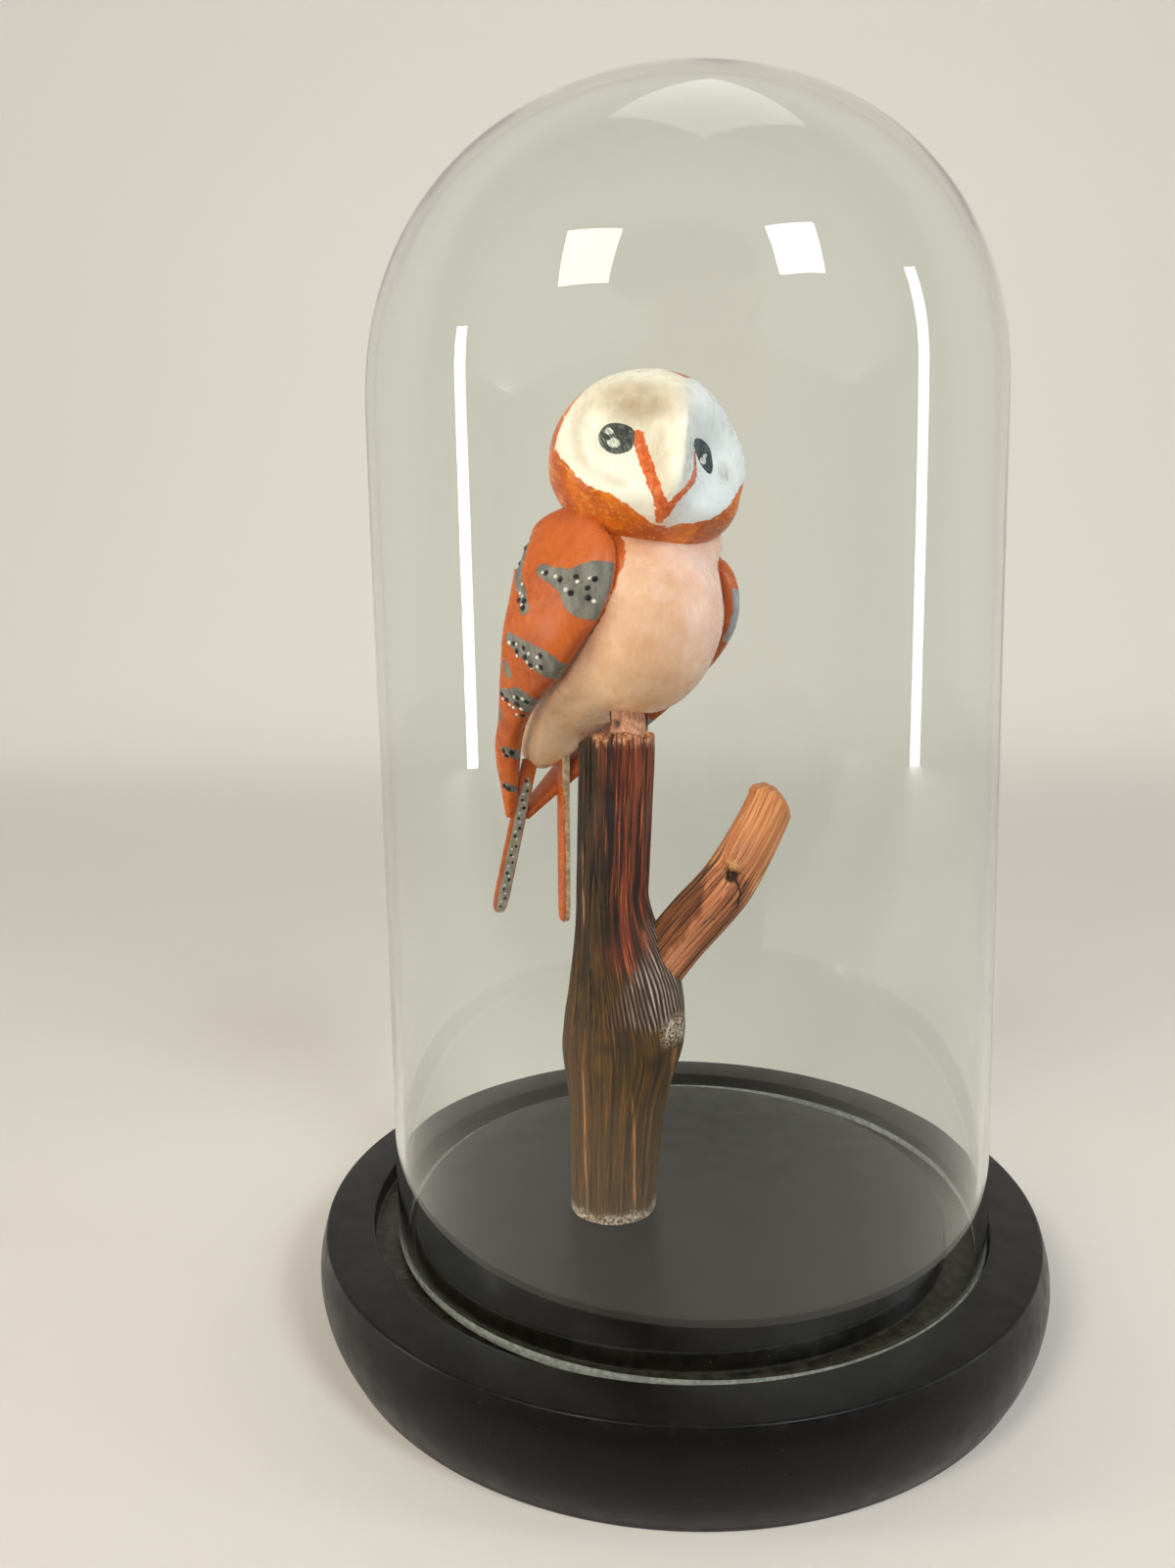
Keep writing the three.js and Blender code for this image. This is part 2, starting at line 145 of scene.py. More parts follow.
def inside_stroke(points: np.ndarray, stroke: Rows) -> np.ndarray:
    """How far inside a brush stroke each point lies.

    Args:
        points: Rows of coordinates.
        stroke: Rows of the same coordinates followed by the stroke's half width there.

    Returns:
        Millimetres inside the stroke, negative outside it.
    """
    stroke = np.asarray(stroke, float)
    best = np.full(len(points), -50.0)
    for a, b in itertools.pairwise(stroke):
        run = b[:-1] - a[:-1]
        t = np.clip((points - a[:-1]) @ run / (run @ run), 0, 1)
        off = np.linalg.norm(points - (a[:-1] + t[:, None] * run), axis=1)
        best = np.maximum(best, a[-1] + (b[-1] - a[-1]) * t - off)
    return best


@dataclass(frozen=True)
class Grain:
    """Smooth noise from -1 to 1 that is the same on every run."""

    seed: int

    def at(self, points: np.ndarray, size: float = 1.0, long: float = 1.0) -> np.ndarray:
        """The noise at each point.

        Args:
            points: Rows of coordinates.
            size: How wide its blotches are.
            long: How many times longer they are along the third axis.

        Returns:
            One number per point.
        """
        table = np.random.default_rng(self.seed).uniform(-1, 1, 8192)
        spots = points / (np.array([1, 1, long]) * size) + self.seed
        cell = np.floor(spots).astype(np.int64)
        part = spots - cell
        part = part * part * (3 - 2 * part)
        total = np.zeros(len(points))
        for corner in itertools.product((0, 1), repeat=3):
            x, y, z = (cell + corner).T
            key = x * 73856093 ^ y * 19349663 ^ z * 83492791
            total += table[key & 8191] * np.where(corner, part, 1 - part).prod(axis=1)
        return total

    def groove(self, points: np.ndarray, size: float, long: float, wide: float) -> np.ndarray:
        """Thin wandering lines, 1 along their middle and 0 beside them."""
        return hill(self.at(points, size, long) / wide)


@dataclass(frozen=True)
class Place:
    """A position and three directions in which a part of the carving is measured."""

    turn: np.ndarray
    at: np.ndarray

    @staticmethod
    def leaning(at: np.ndarray, heading: float, lean: float) -> "Place":
        """A place turned to a heading, leaning to +X with the carving, both in degrees."""
        spin = Matrix.Rotation(math.radians(heading), 3, "Z")
        tip = Matrix.Rotation(math.radians(lean), 3, "Y")
        return Place(np.array(tip @ spin), np.asarray(at, float))

    def out(self, points: np.ndarray | Sequence[float]) -> np.ndarray:
        """Own coordinates to the frame's."""
        return np.asarray(points, float) @ self.turn.T + self.at

    def into(self, points: np.ndarray | Sequence[float]) -> np.ndarray:
        """The frame's coordinates to its own."""
        return (np.asarray(points, float) - self.at) @ self.turn


# ---- bench: meshes by hand ---------------------------------------------------------------------


def box_of(node: str) -> tuple[np.ndarray, np.ndarray]:
    """The lowest and highest corners of one of the frame's nodes, in millimetres."""
    low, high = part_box(node)
    return np.array(low) / MM, np.array(high) / MM


def from_box(node: str, corner: int, axis: int | None = None) -> object:
    """A dataclass field that is read from the box of one of the frame's nodes.

    Args:
        node: The node's name.
        corner: 0 for the lowest corner and 1 for the highest.
        axis: Which of its numbers is wanted, or None for all three.

    Returns:
        The field.
    """
    return field(default_factory=lambda: box_of(node)[corner][slice(None) if axis is None else axis])


def clear_bench() -> None:
    """Leaves edit mode and deselects everything."""
    if bpy.context.mode != "OBJECT":
        bpy.ops.object.mode_set(mode="OBJECT")
    bpy.ops.object.select_all(action="DESELECT")


def pick(piece: bpy.types.Object) -> None:
    """Makes one piece the only selected and active one."""
    clear_bench()
    piece.select_set(True)
    bpy.context.view_layer.objects.active = piece


def named(name: str) -> bpy.types.Object:
    """Names the piece that was just added, and returns it."""
    piece = bpy.context.active_object
    piece.name = piece.data.name = name
    return piece


def points_of(piece: bpy.types.Object, of: str = "co") -> np.ndarray:
    """A piece's points in millimetres, or the outward directions at them."""
    values = np.empty(len(piece.data.vertices) * 3)
    piece.data.vertices.foreach_get(of, values)
    return values.reshape(-1, 3) / (MM if of == "co" else 1)


def move_points(piece: bpy.types.Object, points: np.ndarray) -> None:
    """Puts a piece's points at new places, in millimetres."""
    piece.data.vertices.foreach_set("co", (points * MM).ravel())
    piece.data.update()


def mark(piece: bpy.types.Object, **kept: np.ndarray | float) -> None:
    """Keeps numbers, or places in millimetres, on a piece's points for its paint to read."""
    for name, values in kept.items():
        values = np.array(values, np.float32)
        if values.ndim == 2:
            made = piece.data.attributes.new(name, "FLOAT_VECTOR", "POINT")
            made.data.foreach_set("vector", values.ravel() * MM)
        else:
            made = piece.data.attributes.new(name, "FLOAT", "POINT")
            values = np.broadcast_to(values, len(piece.data.vertices))
            made.data.foreach_set("value", np.ascontiguousarray(values))


def edit_all(piece: bpy.types.Object, *steps: Callable[[], object]) -> None:
    """Runs edit-mode steps on a whole piece."""
    pick(piece)
    bpy.ops.object.mode_set(mode="EDIT")
    bpy.ops.mesh.select_all(action="SELECT")
    for step in steps:
        step()
    bpy.ops.object.mode_set(mode="OBJECT")


def merge_doubles() -> None:
    """Merges points that lie on each other."""
    bpy.ops.mesh.remove_doubles(threshold=2e-6)


def face_out() -> None:
    """Turns all faces outward."""
    bpy.ops.mesh.normals_make_consistent(inside=False)


def smooth(piece: bpy.types.Object, angle: float = 180) -> None:
    """Shades a piece smoothly, with creases above an angle in degrees."""
    pick(piece)
    if angle >= 180:
        bpy.ops.object.shade_smooth()
    else:
        bpy.ops.object.shade_smooth_by_angle(angle=math.radians(angle))


def apply(piece: bpy.types.Object, kind: str, **settings: object) -> None:
    """Adds a modifier and applies it.

    Args:
        piece: The piece to change.
        kind: The modifier's type.
        settings: The modifier's own settings.
    """
    pick(piece)
    modifier = piece.modifiers.new(kind.title(), kind)
    for key, value in settings.items():
        setattr(modifier, key, value)
    bpy.ops.object.modifier_apply(modifier=modifier.name)


def volume_of(piece: bpy.types.Object) -> float:
    """The signed volume of a closed piece, negative if it is inside out."""
    piece.data.calc_loop_triangles()
    corners = np.empty(len(piece.data.loop_triangles) * 3, int)
    piece.data.loop_triangles.foreach_get("vertices", corners)
    a, b, c = points_of(piece)[corners.reshape(-1, 3)].transpose(1, 0, 2)
    return float((a * np.cross(b, c)).sum())


def surface_of(piece: bpy.types.Object) -> BVHTree:
    """A piece's surface in millimetres, for finding places on it."""
    faces = [tuple(face.vertices) for face in piece.data.polygons]
    return BVHTree.FromPolygons([tuple(p) for p in points_of(piece)], faces)


def turn_on_lathe(
    name: str, profile: Sequence[tuple[float, float]], steps: int, centre_x: float = 0.0
) -> bpy.types.Object:
    """Draws a profile and spins it into a closed turned shape.

    Args:
        name: The piece's name.
        profile: Radius and height pairs, in order from axis to axis.
        steps: How many steps go round.
        centre_x: Where the axis stands.

    Returns:
        The turned piece.
    """
    clear_bench()
    drawn = [Vector((centre_x + r, 0, z)) * MM for r, z in profile]
    bpy.ops.mesh.primitive_plane_add(size=MM, location=drawn[0])
    piece = named(name)
    bpy.ops.object.transform_apply(location=True)
    edit_all(piece, lambda: bpy.ops.mesh.merge(type="CENTER"))
    bpy.ops.object.mode_set(mode="EDIT")
    for here, there in itertools.pairwise(drawn):
        bpy.ops.mesh.extrude_vertices_move(TRANSFORM_OT_translate={"value": there - here})
    bpy.ops.mesh.select_all(action="SELECT")
    bpy.ops.mesh.spin(steps=steps, angle=TAU, center=(centre_x * MM, 0, 0), axis=(0, 0, 1))
    edit_all(piece, merge_doubles, face_out)
    return piece


def rounded(
    centre: tuple[float, float], radius: float, start: float, end: float, steps: int = 5
) -> list[tuple[float, float]]:
    """Points of a rounded corner in a profile, between two angles in degrees."""
    turns = [math.radians(start + (end - start) * i / steps) for i in range(steps + 1)]
    return [(centre[0] + radius * math.cos(a), centre[1] + radius * math.sin(a)) for a in turns]


def wrap(
    name: str, columns: int, rows: int, shape: Callable[[np.ndarray, np.ndarray], np.ndarray]
) -> tuple[bpy.types.Object, np.ndarray, np.ndarray]:
    """Rolls a grid into a closed form, its sides meeting in a seam and its ends in points.

    Args:
        name: The piece's name.
        columns: Faces round the form.
        rows: Faces along it.
        shape: Each point's place, from its angle round the form and its share along it.

    Returns:
        The piece, and the angle and the share of each of its points.
    """
    clear_bench()
    bpy.ops.mesh.primitive_grid_add(x_subdivisions=columns, y_subdivisions=rows, size=2)
    piece = named(name)
    flat = points_of(piece) * MM
    turn, share = (flat[:, 0] + 1) * math.pi, (flat[:, 1] + 1) / 2
    mark(piece, rolled=np.column_stack([turn, share, share]))
    move_points(piece, shape(turn, share))
    edit_all(piece, merge_doubles)
    if volume_of(piece) < 0:
        edit_all(piece, bpy.ops.mesh.flip_normals)
    smooth(piece)
    kept = np.empty(len(piece.data.vertices) * 3)
    piece.data.attributes["rolled"].data.foreach_get("vector", kept)
    piece.data.attributes.remove(piece.data.attributes["rolled"])
    turn, share, _ = kept.reshape(-1, 3).T / MM
    return piece, turn, share


@dataclass(frozen=True)
class Station:
    """One cross-section of a lofted form."""

    middle: np.ndarray
    across: np.ndarray
    up: np.ndarray
    half_across: float
    half_up: float


@dataclass(frozen=True)
class Loft:
    """A closed rounded form drawn through stations along a line."""

    station: Callable[[float], Station]
    squareness: float
    start_round: float
    end_round: float
    columns: int = 96
    rows: int = 140
    cap: float = 0.05

    def build(self, name: str) -> tuple[bpy.types.Object, np.ndarray, np.ndarray]:
        """Wraps a grid through the stations.

        Args:
            name: The piece's name.

        Returns:
            The piece, and the angle and t of each of its points.
        """
        stops = np.arange(self.rows + 1) / self.rows
        ts = np.clip((stops - self.cap) / (1 - 2 * self.cap), 0, 1)
        bend = np.minimum(np.minimum(stops, 1 - stops) / self.cap, 1) * math.pi / 2
        beyond = np.cos(bend) * np.where(stops < 0.5, -self.start_round, self.end_round)
        made = [self.station(t) for t in ts]
        middle, across, up = (
            np.array([getattr(s, k) for s in made]) for k in ("middle", "across", "up")
        )
        ahead = np.array([self.station(min(t + 0.01, 1)).middle for t in ts])
        behind = np.array([self.station(max(t - 0.01, 0)).middle for t in ts])
        middle = middle + beyond[:, None] * unit(ahead - behind)
        wide = np.array([s.half_across for s in made]) * np.sin(bend)
        tall = np.array([s.half_up for s in made]) * np.sin(bend)

        def shape(turn: np.ndarray, share: np.ndarray) -> np.ndarray:
            """Places the grid's points."""
            row = np.rint(share * self.rows).astype(int)
            x = wide[row] * power(np.cos(turn), 2 / self.squareness)
            y = tall[row] * power(np.sin(turn), 2 / self.squareness)
            return middle[row] + x[:, None] * across[row] + y[:, None] * up[row]

        piece, turn, share = wrap(name, self.columns, self.rows, shape)
        return piece, turn, ts[np.rint(share * self.rows).astype(int)]


# ---- wiring: finishes from nodes -----------------------------------------------------------------

Socket = bpy.types.NodeSocket
Feed = Socket | float | tuple


def tone(code: str) -> tuple[float, float, float, float]:
    """A colour from its six-figure code, as light."""
    parts = [int(code[i : i + 2], 16) / 255 for i in (0, 2, 4)]
    light = [p / 12.92 if p <= 0.04045 else ((p + 0.055) / 1.055) ** 2.4 for p in parts]
    return (*light, 1.0)


class Wiring:
    """The nodes of one finish, laid out one by one."""

    def __init__(self, name: str) -> None:
        """Starts an empty finish.

        Args:
            name: The finish's name.
        """
        self.material = bpy.data.materials.new(name)
        self.material.use_nodes = True
        self.tree = self.material.node_tree
        self.tree.nodes.clear()
        self.place = self.node("ShaderNodeTexCoord").outputs["Object"]

    def node(self, kind: str, inputs: dict | None = None, **settings: object) -> bpy.types.Node:
        """Adds a node.

        Args:
            kind: The node's type.
            inputs: What goes into its sockets, by name or number.
            settings: Its own settings.

        Returns:
            The node.
        """
        made = self.tree.nodes.new(kind)
        for key, value in settings.items():
            setattr(made, key, value)
        for key, value in (inputs or {}).items():
            if isinstance(value, Socket):
                self.tree.links.new(value, made.inputs[key])
            else:
                made.inputs[key].default_value = value
        return made

    def kept(self, name: str, output: str = "Fac") -> Socket:
        """A number kept on the piece's points, or with output Vector a place."""
        return self.node("ShaderNodeAttribute", attribute_name=name).outputs[output]

    def noise(
        self,
        size: float,
        stretch: tuple[float, float, float] = (1, 1, 1),
        detail: float = 3,
        source: Socket | None = None,
        turn: tuple[float, float, float] = (0, 0, 0),
    ) -> Socket:
        """Cloudy noise, around a half.

        Args:
            size: About how wide a blotch is, in millimetres.
            stretch: How many times longer it is along each axis.
            detail: How many finer layers it has.
            source: The coordinates it reads, the piece's own if not given.
            turn: Degrees that the pattern is turned by.

        Returns:
            The noise.
        """
        angles = tuple(math.radians(a) for a in turn)
        scale = tuple(1 / (size * MM * s) for s in stretch)
        turned = self.node("ShaderNodeMapping", {0: source or self.place, "Rotation": angles})
        spot = self.node("ShaderNodeMapping", {0: turned.outputs[0], "Scale": scale})
        inputs = {"Vector": spot.outputs[0], "Scale": 1.0, "Detail": detail}
        return self.node("ShaderNodeTexNoise", inputs).outputs["Fac"]

    def step(
        self, value: Feed, low: float, high: float, to: tuple[float, float] = (0, 1)
    ) -> Socket:
        """A smooth step from one number at low to another at high."""
        inputs = {0: value, 1: low, 2: high, 3: to[0], 4: to[1]}
        made = self.node("ShaderNodeMapRange", inputs, interpolation_type="SMOOTHSTEP")
        return made.outputs["Result"]

    def sum(self, kind: str, a: Feed, b: Feed = 0.0, c: Feed = 0.0) -> Socket:
        """One sum on two or three numbers."""
        return self.node("ShaderNodeMath", {0: a, 1: b, 2: c}, operation=kind).outputs[0]

    def times(self, a: Feed, b: Feed) -> Socket:
        """The product of two numbers."""
        return self.sum("MULTIPLY", a, b)

    def mix(self, share: Feed, a: Feed | str, b: Feed | str) -> Socket:
        """A colour between a, at share 0, and b, at share 1."""
        a, b = (tone(c) if isinstance(c, str) else c for c in (a, b))
        return self.node("ShaderNodeMix", {0: share, 6: a, 7: b}, data_type="RGBA").outputs[2]

    def cloud(self, size: float, a: Feed | str, b: Feed | str, **layout: object) -> Socket:
        """A colour that wanders between a and b."""
        return self.mix(self.step(self.noise(size, **layout), 0.36, 0.64), a, b)

    def edge(
        self, name: str, wobble: float = 0.25, size: float = 1.2, soft: float = 0.06
    ) -> Socket:
        """A painted patch with a hand-drawn edge.

        Args:
            name: The kept distance inside the patch, in millimetres.
            wobble: How far the edge wanders.
            size: How long its waves are.
            soft: Half the width of its blur.

        Returns:
            1 inside and 0 outside.
        """
        wave = self.sum("MULTIPLY_ADD", self.noise(size, detail=2), 5 * wobble, -2.5 * wobble)
        return self.step(self.sum("ADD", self.kept(name), wave), -soft, soft)

    def bump(self, height: Feed, depth: float, under: Socket | None = None) -> Socket:
        """Fine relief.

        Args:
            height: The height, from 0 to 1.
            depth: What a height of 1 is, in millimetres.
            under: The relief it lies on.

        Returns:
            The bent normal.
        """
        inputs = {"Height": height, "Distance": depth * MM, "Strength": 1.0}
        if under is not None:
            inputs["Normal"] = under
        return self.node("ShaderNodeBump", inputs).outputs["Normal"]

    def finish(
        self, colour: Feed, rough: Feed, normal: Socket | None, **more: Feed
    ) -> bpy.types.Material:
        """Ends in the surface shader.

        Args:
            colour: The base colour.
            rough: The roughness.
            normal: The bent normal, or None on a plain surface.
            more: Other sockets, with _ for a space.

        Returns:
            The finished material.
        """
        inputs = {"Base Color": colour, "Roughness": rough} | ({"Normal": normal} if normal else {})
        inputs |= {key.replace("_", " "): value for key, value in more.items()}
        shader = self.node("ShaderNodeBsdfPrincipled", inputs)
        self.node("ShaderNodeOutputMaterial", {"Surface": shader.outputs[0]})
        return self.material


def mount(
    piece: bpy.types.Object, body: Body, slot: str, paint: bpy.types.Material, *nodes: str
) -> None:
    """Paints a shaped piece and puts it on its body.

    Args:
        piece: The shaped piece.
        body: What it moves with.
        slot: The material slot's name; not used.
        paint: Its finish.
        nodes: The frame's nodes it stands for.
    """
    piece.data.materials.clear()
    piece.data.materials.append(paint)
    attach(piece, body.value)
    if nodes:
        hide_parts(*nodes)
    log.info("%s: %d faces, on %s", piece.name, len(piece.data.polygons), body.value)


# ---- finishes ------------------------------------------------------------------------------------


@dataclass(frozen=True)
class BrushedPaint:
    """Hand-brushed satin paint on carved wood."""

    deep: str
    plain: str
    light: str
    roughness: float = 0.34
    turn: tuple[float, float, float] = (0, 0, 0)
    streak: float = 0.5
    strength: float = 0.55

    def colour(self, w: Wiring) -> Socket:
        """The paint's uneven colour."""
        base = w.cloud(9, self.deep, self.plain, detail=2)
        lines = w.noise(self.streak, (1, 1, 9), 4, turn=self.turn)
        return w.mix(w.step(lines, 0.48, 0.74, (0, self.strength)), base, self.light)

    def relief(self, w: Wiring) -> Socket:
        """Brush lines and the faint unevenness of the carved wood under them."""
        lines = w.noise(self.streak * 0.6, (1, 1, 12), 3, turn=self.turn)
        return w.bump(lines, 0.03, w.bump(w.noise(3.2, detail=1), 0.2))

    def cover(self, w: Wiring, colour: Socket) -> bpy.types.Material:
        """Ends a finish of this paint's gloss and relief in a colour."""
        low, high = self.roughness - 0.06, self.roughness + 0.1
        rough = w.step(w.noise(2.4, detail=4), 0.3, 0.7, (low, high))
        return w.finish(colour, rough, self.relief(w), Specular_IOR_Level=0.45)


@dataclass(frozen=True)
class BlackLacquer:
    """Satin black paint on the turned base, with dust lying in the groove."""

    dust: str = "4d4637"
    fleck: str = "9a927f"
    worn: str = "252321"

    def material(self) -> bpy.types.Material:
        """Builds the finish."""
        w = Wiring("black_lacquer")
        colour = w.cloud(14, "020202", "050505")
        dusty = w.step(w.noise(2.2, detail=5), 0.38, 0.62, (0.15, 0.75))
        colour = w.mix(w.times(w.kept("groove"), dusty), colour, self.dust)
        fleck = w.step(w.noise(0.5, detail=1), 0.74, 0.79)
        fleck = w.times(fleck, w.step(w.kept("groove"), 0, 0.6, (0.1, 1)))
        colour = w.mix(fleck, colour, self.fleck)
        worn = w.times(w.kept("rim"), w.step(w.noise(3, detail=4), 0.48, 0.7, (0.05, 0.5)))
        colour = w.mix(worn, colour, self.worn)
        rough = w.step(w.noise(5, detail=4), 0.3, 0.7, (0.3, 0.42))
        relief = w.bump(w.noise(7, (1, 1, 0.4), 2), 0.05)
        return w.finish(colour, rough, relief, Specular_IOR_Level=0.25)


@dataclass(frozen=True)
class ClearGlass:
    """Thin clear glass that lets the lamps through to what it covers."""

    tint: str = "f8fbf8"
    bend: float = 1.46

    def material(self) -> bpy.types.Material:
        """Builds the finish."""
        w = Wiring("clear_glass")
        inputs = {
            "Base Color": tone(self.tint),
            "Roughness": 0.0,
            "IOR": self.bend,
            "Transmission Weight": 1.0,
            "Normal": w.bump(w.noise(26, (1, 1, 6), 1), 0.14),
        }
        glass = w.node("ShaderNodeBsdfPrincipled", inputs)
        clear = w.node("ShaderNodeBsdfTransparent", {"Color": (0.97, 0.98, 0.975, 1)})
        path = w.node("ShaderNodeLightPath").outputs["Is Shadow Ray"]
        both = w.node("ShaderNodeMixShader", {0: path, 1: glass.outputs[0], 2: clear.outputs[0]})
        w.node("ShaderNodeOutputMaterial", {"Surface": both.outputs[0]})
        return w.material


@dataclass(frozen=True)
class GroundGlass:
    """The dome's ground foot rim: pale, frosted and a little dusty."""

    dusty: str = "9fa39a"
    clean: str = "cfd1c6"

    def material(self) -> bpy.types.Material:
        """Builds the finish."""
        w = Wiring("ground_glass")
        colour = w.cloud(1.2, self.dusty, self.clean, detail=4)
        rough = w.step(w.noise(2), 0.3, 0.7, (0.3, 0.55))
        relief = w.bump(w.noise(0.5), 0.03)
        return w.finish(colour, rough, relief, Transmission_Weight=0.35, IOR=1.46)


@dataclass(frozen=True)
class Fibres:
    """Long wood fibres of three tones."""

    deep: str
    plain: str
    light: str

    def colour(self, w: Wiring, fine: Socket, broad: Socket) -> Socket:
        """The fibres' colour.

        Args:
            w: The finish.
            fine: Noise of thin fibres.
            broad: Noise of broad fibres.

        Returns:
            The colour.
        """
        base = w.mix(w.step(broad, 0.36, 0.62), self.deep, self.plain)
        base = w.mix(w.step(fine, 0.32, 0.47, (0.8, 0)), base, self.deep)
        return w.mix(w.step(fine, 0.53, 0.7, (0, 0.85)), base, self.light)


class PeeledWood(Wiring):
    """Peeled twig wood: fibres and thin dark cracks that follow the grain."""

    def __init__(self, name: str) -> None:
        """Starts the finish with its fibres and cracks.

        Args:
            name: The finish's name.
        """
        super().__init__(name)
        grain = self.kept("grain", "Vector")
        self.fine = self.noise(0.24, (1, 1, 55), 4, grain)
        self.broad = self.noise(0.75, (1, 1, 40), 4, grain)
        line = self.noise(0.9, (1, 1, 34), 2, grain)
        line = self.sum("ABSOLUTE", self.sum("SUBTRACT", line, 0.5))
        open_here = self.step(self.noise(2.5, (1, 1, 9), 2, grain), 0.42, 0.6)
        thin = self.times(self.step(line, 0.004, 0.02, (1, 0)), open_here)
        self.crack = self.sum("MAXIMUM", self.times(thin, self.kept("dry")), self.kept("crack"))

    def end(self, colour: Socket) -> bpy.types.Material:
        """Ends the finish in a colour, with the cracks dark and the fibres raised."""
        colour = self.mix(self.step(self.crack, 0.12, 0.85, (0, 0.92)), colour, "140b07")
        relief = self.bump(self.fine, 0.14, self.bump(self.crack, -0.3))
        rough = self.step(self.fine, 0.3, 0.7, (0.5, 0.75))
        return self.finish(colour, rough, relief, Specular_IOR_Level=0.3)


@dataclass(frozen=True)
class StemWood:
    """Olive and red-brown weathered wood, smoother below the joint."""

    olive: Fibres = Fibres("160b02", "3a2508", "744a16")
    red: Fibres = Fibres("2c0c05", "7c3016", "c8703c")
    low: Fibres = Fibres("2e1e08", "523506", "85580f")
    shaded_furrow: str = "3a231b"

    def material(self) -> bpy.types.Material:
        """Builds the finish."""
        w = PeeledWood("stem_wood")
        olive, red, low = (f.colour(w, w.fine, w.broad) for f in (self.olive, self.red, self.low))
        patch = w.step(w.noise(6, (1, 1, 4), 2), 0.3, 0.7, (-0.3, 0.3))
        colour = w.mix(w.step(w.sum("ADD", w.kept("red"), patch), 0.1, 0.9), olive, red)
        colour = w.mix(w.step(w.sum("ADD", w.kept("low"), patch), 0.2, 0.8), colour, low)
        grain = w.kept("grain", "Vector")
        wave = w.sum("MULTIPLY", w.noise(1.8, (1, 1, 8), 4, grain), 11)
        ridge = w.sum("SINE", w.sum("ADD", w.kept("ridge"), wave))
        pale = w.cloud(0.9, "705b4d", "b8a597", stretch=(1, 1, 9), source=grain)
        pale = w.mix(w.kept("silver"), "6a3f24", pale)
        # the fan's ribs: the wood's own pale and dark lines, with painted shade in the furrows and a
        # painted highlight on the rib tops
        fan = w.mix(w.step(ridge, -0.2, 0.8), self.shaded_furrow, pale)
        fan = w.mix(w.step(w.fine, 0.35, 0.55, (0.6, 0)), fan, "4a342b")
        colour = w.mix(w.times(w.kept("fan"), 0.92), colour, fan)
        colour = w.mix(w.times(w.kept("stain"), w.step(w.fine, 0.3, 0.6, (1, 0.6))), colour, "110a06")
        pale = w.times(w.kept("pale"), w.step(w.noise(0.8, (1, 1, 9)), 0.38, 0.5, (0.25, 0.9)))
        colour = w.mix(pale, colour, "b07a48")
        crust = w.times(w.kept("crust"), w.step(w.noise(0.55, detail=4), 0.42, 0.54))
        colour = w.mix(crust, colour, w.cloud(0.9, "9a8672", "d2c2b0"))
        torn = w.times(w.kept("torn"), w.step(w.noise(0.7, (1, 1, 5)), 0.38, 0.56))
        colour = w.mix(torn, colour, w.cloud(0.8, "a8643f", "d49b70"))
        # the fan's furrows also darken with the cracks: painted shade in the furrows
        w.crack = w.sum("MAXIMUM", w.crack, w.times(w.step(ridge, -1, -0.3, (0.55, 0)), w.kept("fan")))
        return w.end(colour)


@dataclass(frozen=True)
class LimbWood:
    """The lighter, pinker wood of the side branch, browner on its upper side."""

    tip: Fibres = Fibres("b06538", "d68e58", "efb888")
    low: Fibres = Fibres("8a4c30", "bf7850", "dea07a")
    brown: Fibres = Fibres("3c1c0e", "7d4424", "b8743e")

    def material(self) -> bpy.types.Material:
        """Builds the finish."""
        w = PeeledWood("limb_wood")
        tip, low, brown = (f.colour(w, w.fine, w.broad) for f in (self.tip, self.low, self.brown))
        patch = w.step(w.noise(4, (1, 1, 2), 2), 0.3, 0.7, (-0.25, 0.25))
        colour = w.mix(w.step(w.sum("ADD", w.kept("tip"), patch), 0.3, 0.7), low, tip)
        colour = w.mix(w.step(w.sum("ADD", w.kept("brown"), patch), 0.3, 0.8), colour, brown)
        hollow = w.times(w.kept("hollow"), w.step(w.noise(1.1, detail=4), 0.35, 0.6, (0.1, 0.8)))
        colour = w.mix(hollow, colour, "5a3c24")
        colour = w.mix(w.times(w.kept("knot"), 0.9), colour, w.cloud(0.7, "9a6434", "cf9c63"))
        greyed = w.times(w.kept("greyed"), w.step(w.broad, 0.35, 0.6, (0.15, 0.55)))
        colour = w.mix(greyed, colour, "9a6650")
        return w.end(colour)


@dataclass(frozen=True)
class HeadPaint:
    """Orange ball with the white face and its orange lines, brown shading over it that is partly the
    paint's own tint and partly painted shade, and the white painted warmer on one half and cooler on the
    other as painted light from the two lamps.
    """

    orange: BrushedPaint = BrushedPaint("b64a00", "dc6c00", "f6aa34", 0.28, (60, 20, 0), 0.8, 0.75)
    warm_lit_white: BrushedPaint = BrushedPaint("e9ddc6", "f1e8d7", "f8f2e6", 0.38, (10, 0, 0), 0.8)
    cool: BrushedPaint = BrushedPaint("e2e2e2", "eeeff0", "f8f8f8", 0.38, (10, 0, 0), 0.8)

    def material(self) -> bpy.types.Material:
        """Builds the finish."""
        w = Wiring("head_paint")
        # painted light: warm white on one half of the face and cool white on the other, for the warm and
        # cool lamps
        white = w.mix(w.kept("cool"), self.warm_lit_white.colour(w), self.cool.colour(w))
        shade = w.times(w.kept("shade"), w.step(w.noise(4.5, detail=3), 0.25, 0.6, (0.7, 1)))
        white = w.mix(w.times(shade, 0.85), white, w.cloud(5, "a08466", "b09274", detail=2))
        smudge = w.times(w.kept("smudge"), w.step(w.noise(0.9, detail=4), 0.35, 0.6, (0.3, 1)))
        white = w.mix(w.times(smudge, 0.6), white, "8f8371")
        colour = w.mix(w.edge("white", 0.3, 1.8), self.orange.colour(w), white)
        line = w.cloud(1.2, "c8551e", "de7238")
        colour = w.mix(w.edge("stroke", 0.3, 1.3), colour, line)
        return self.orange.cover(w, colour)


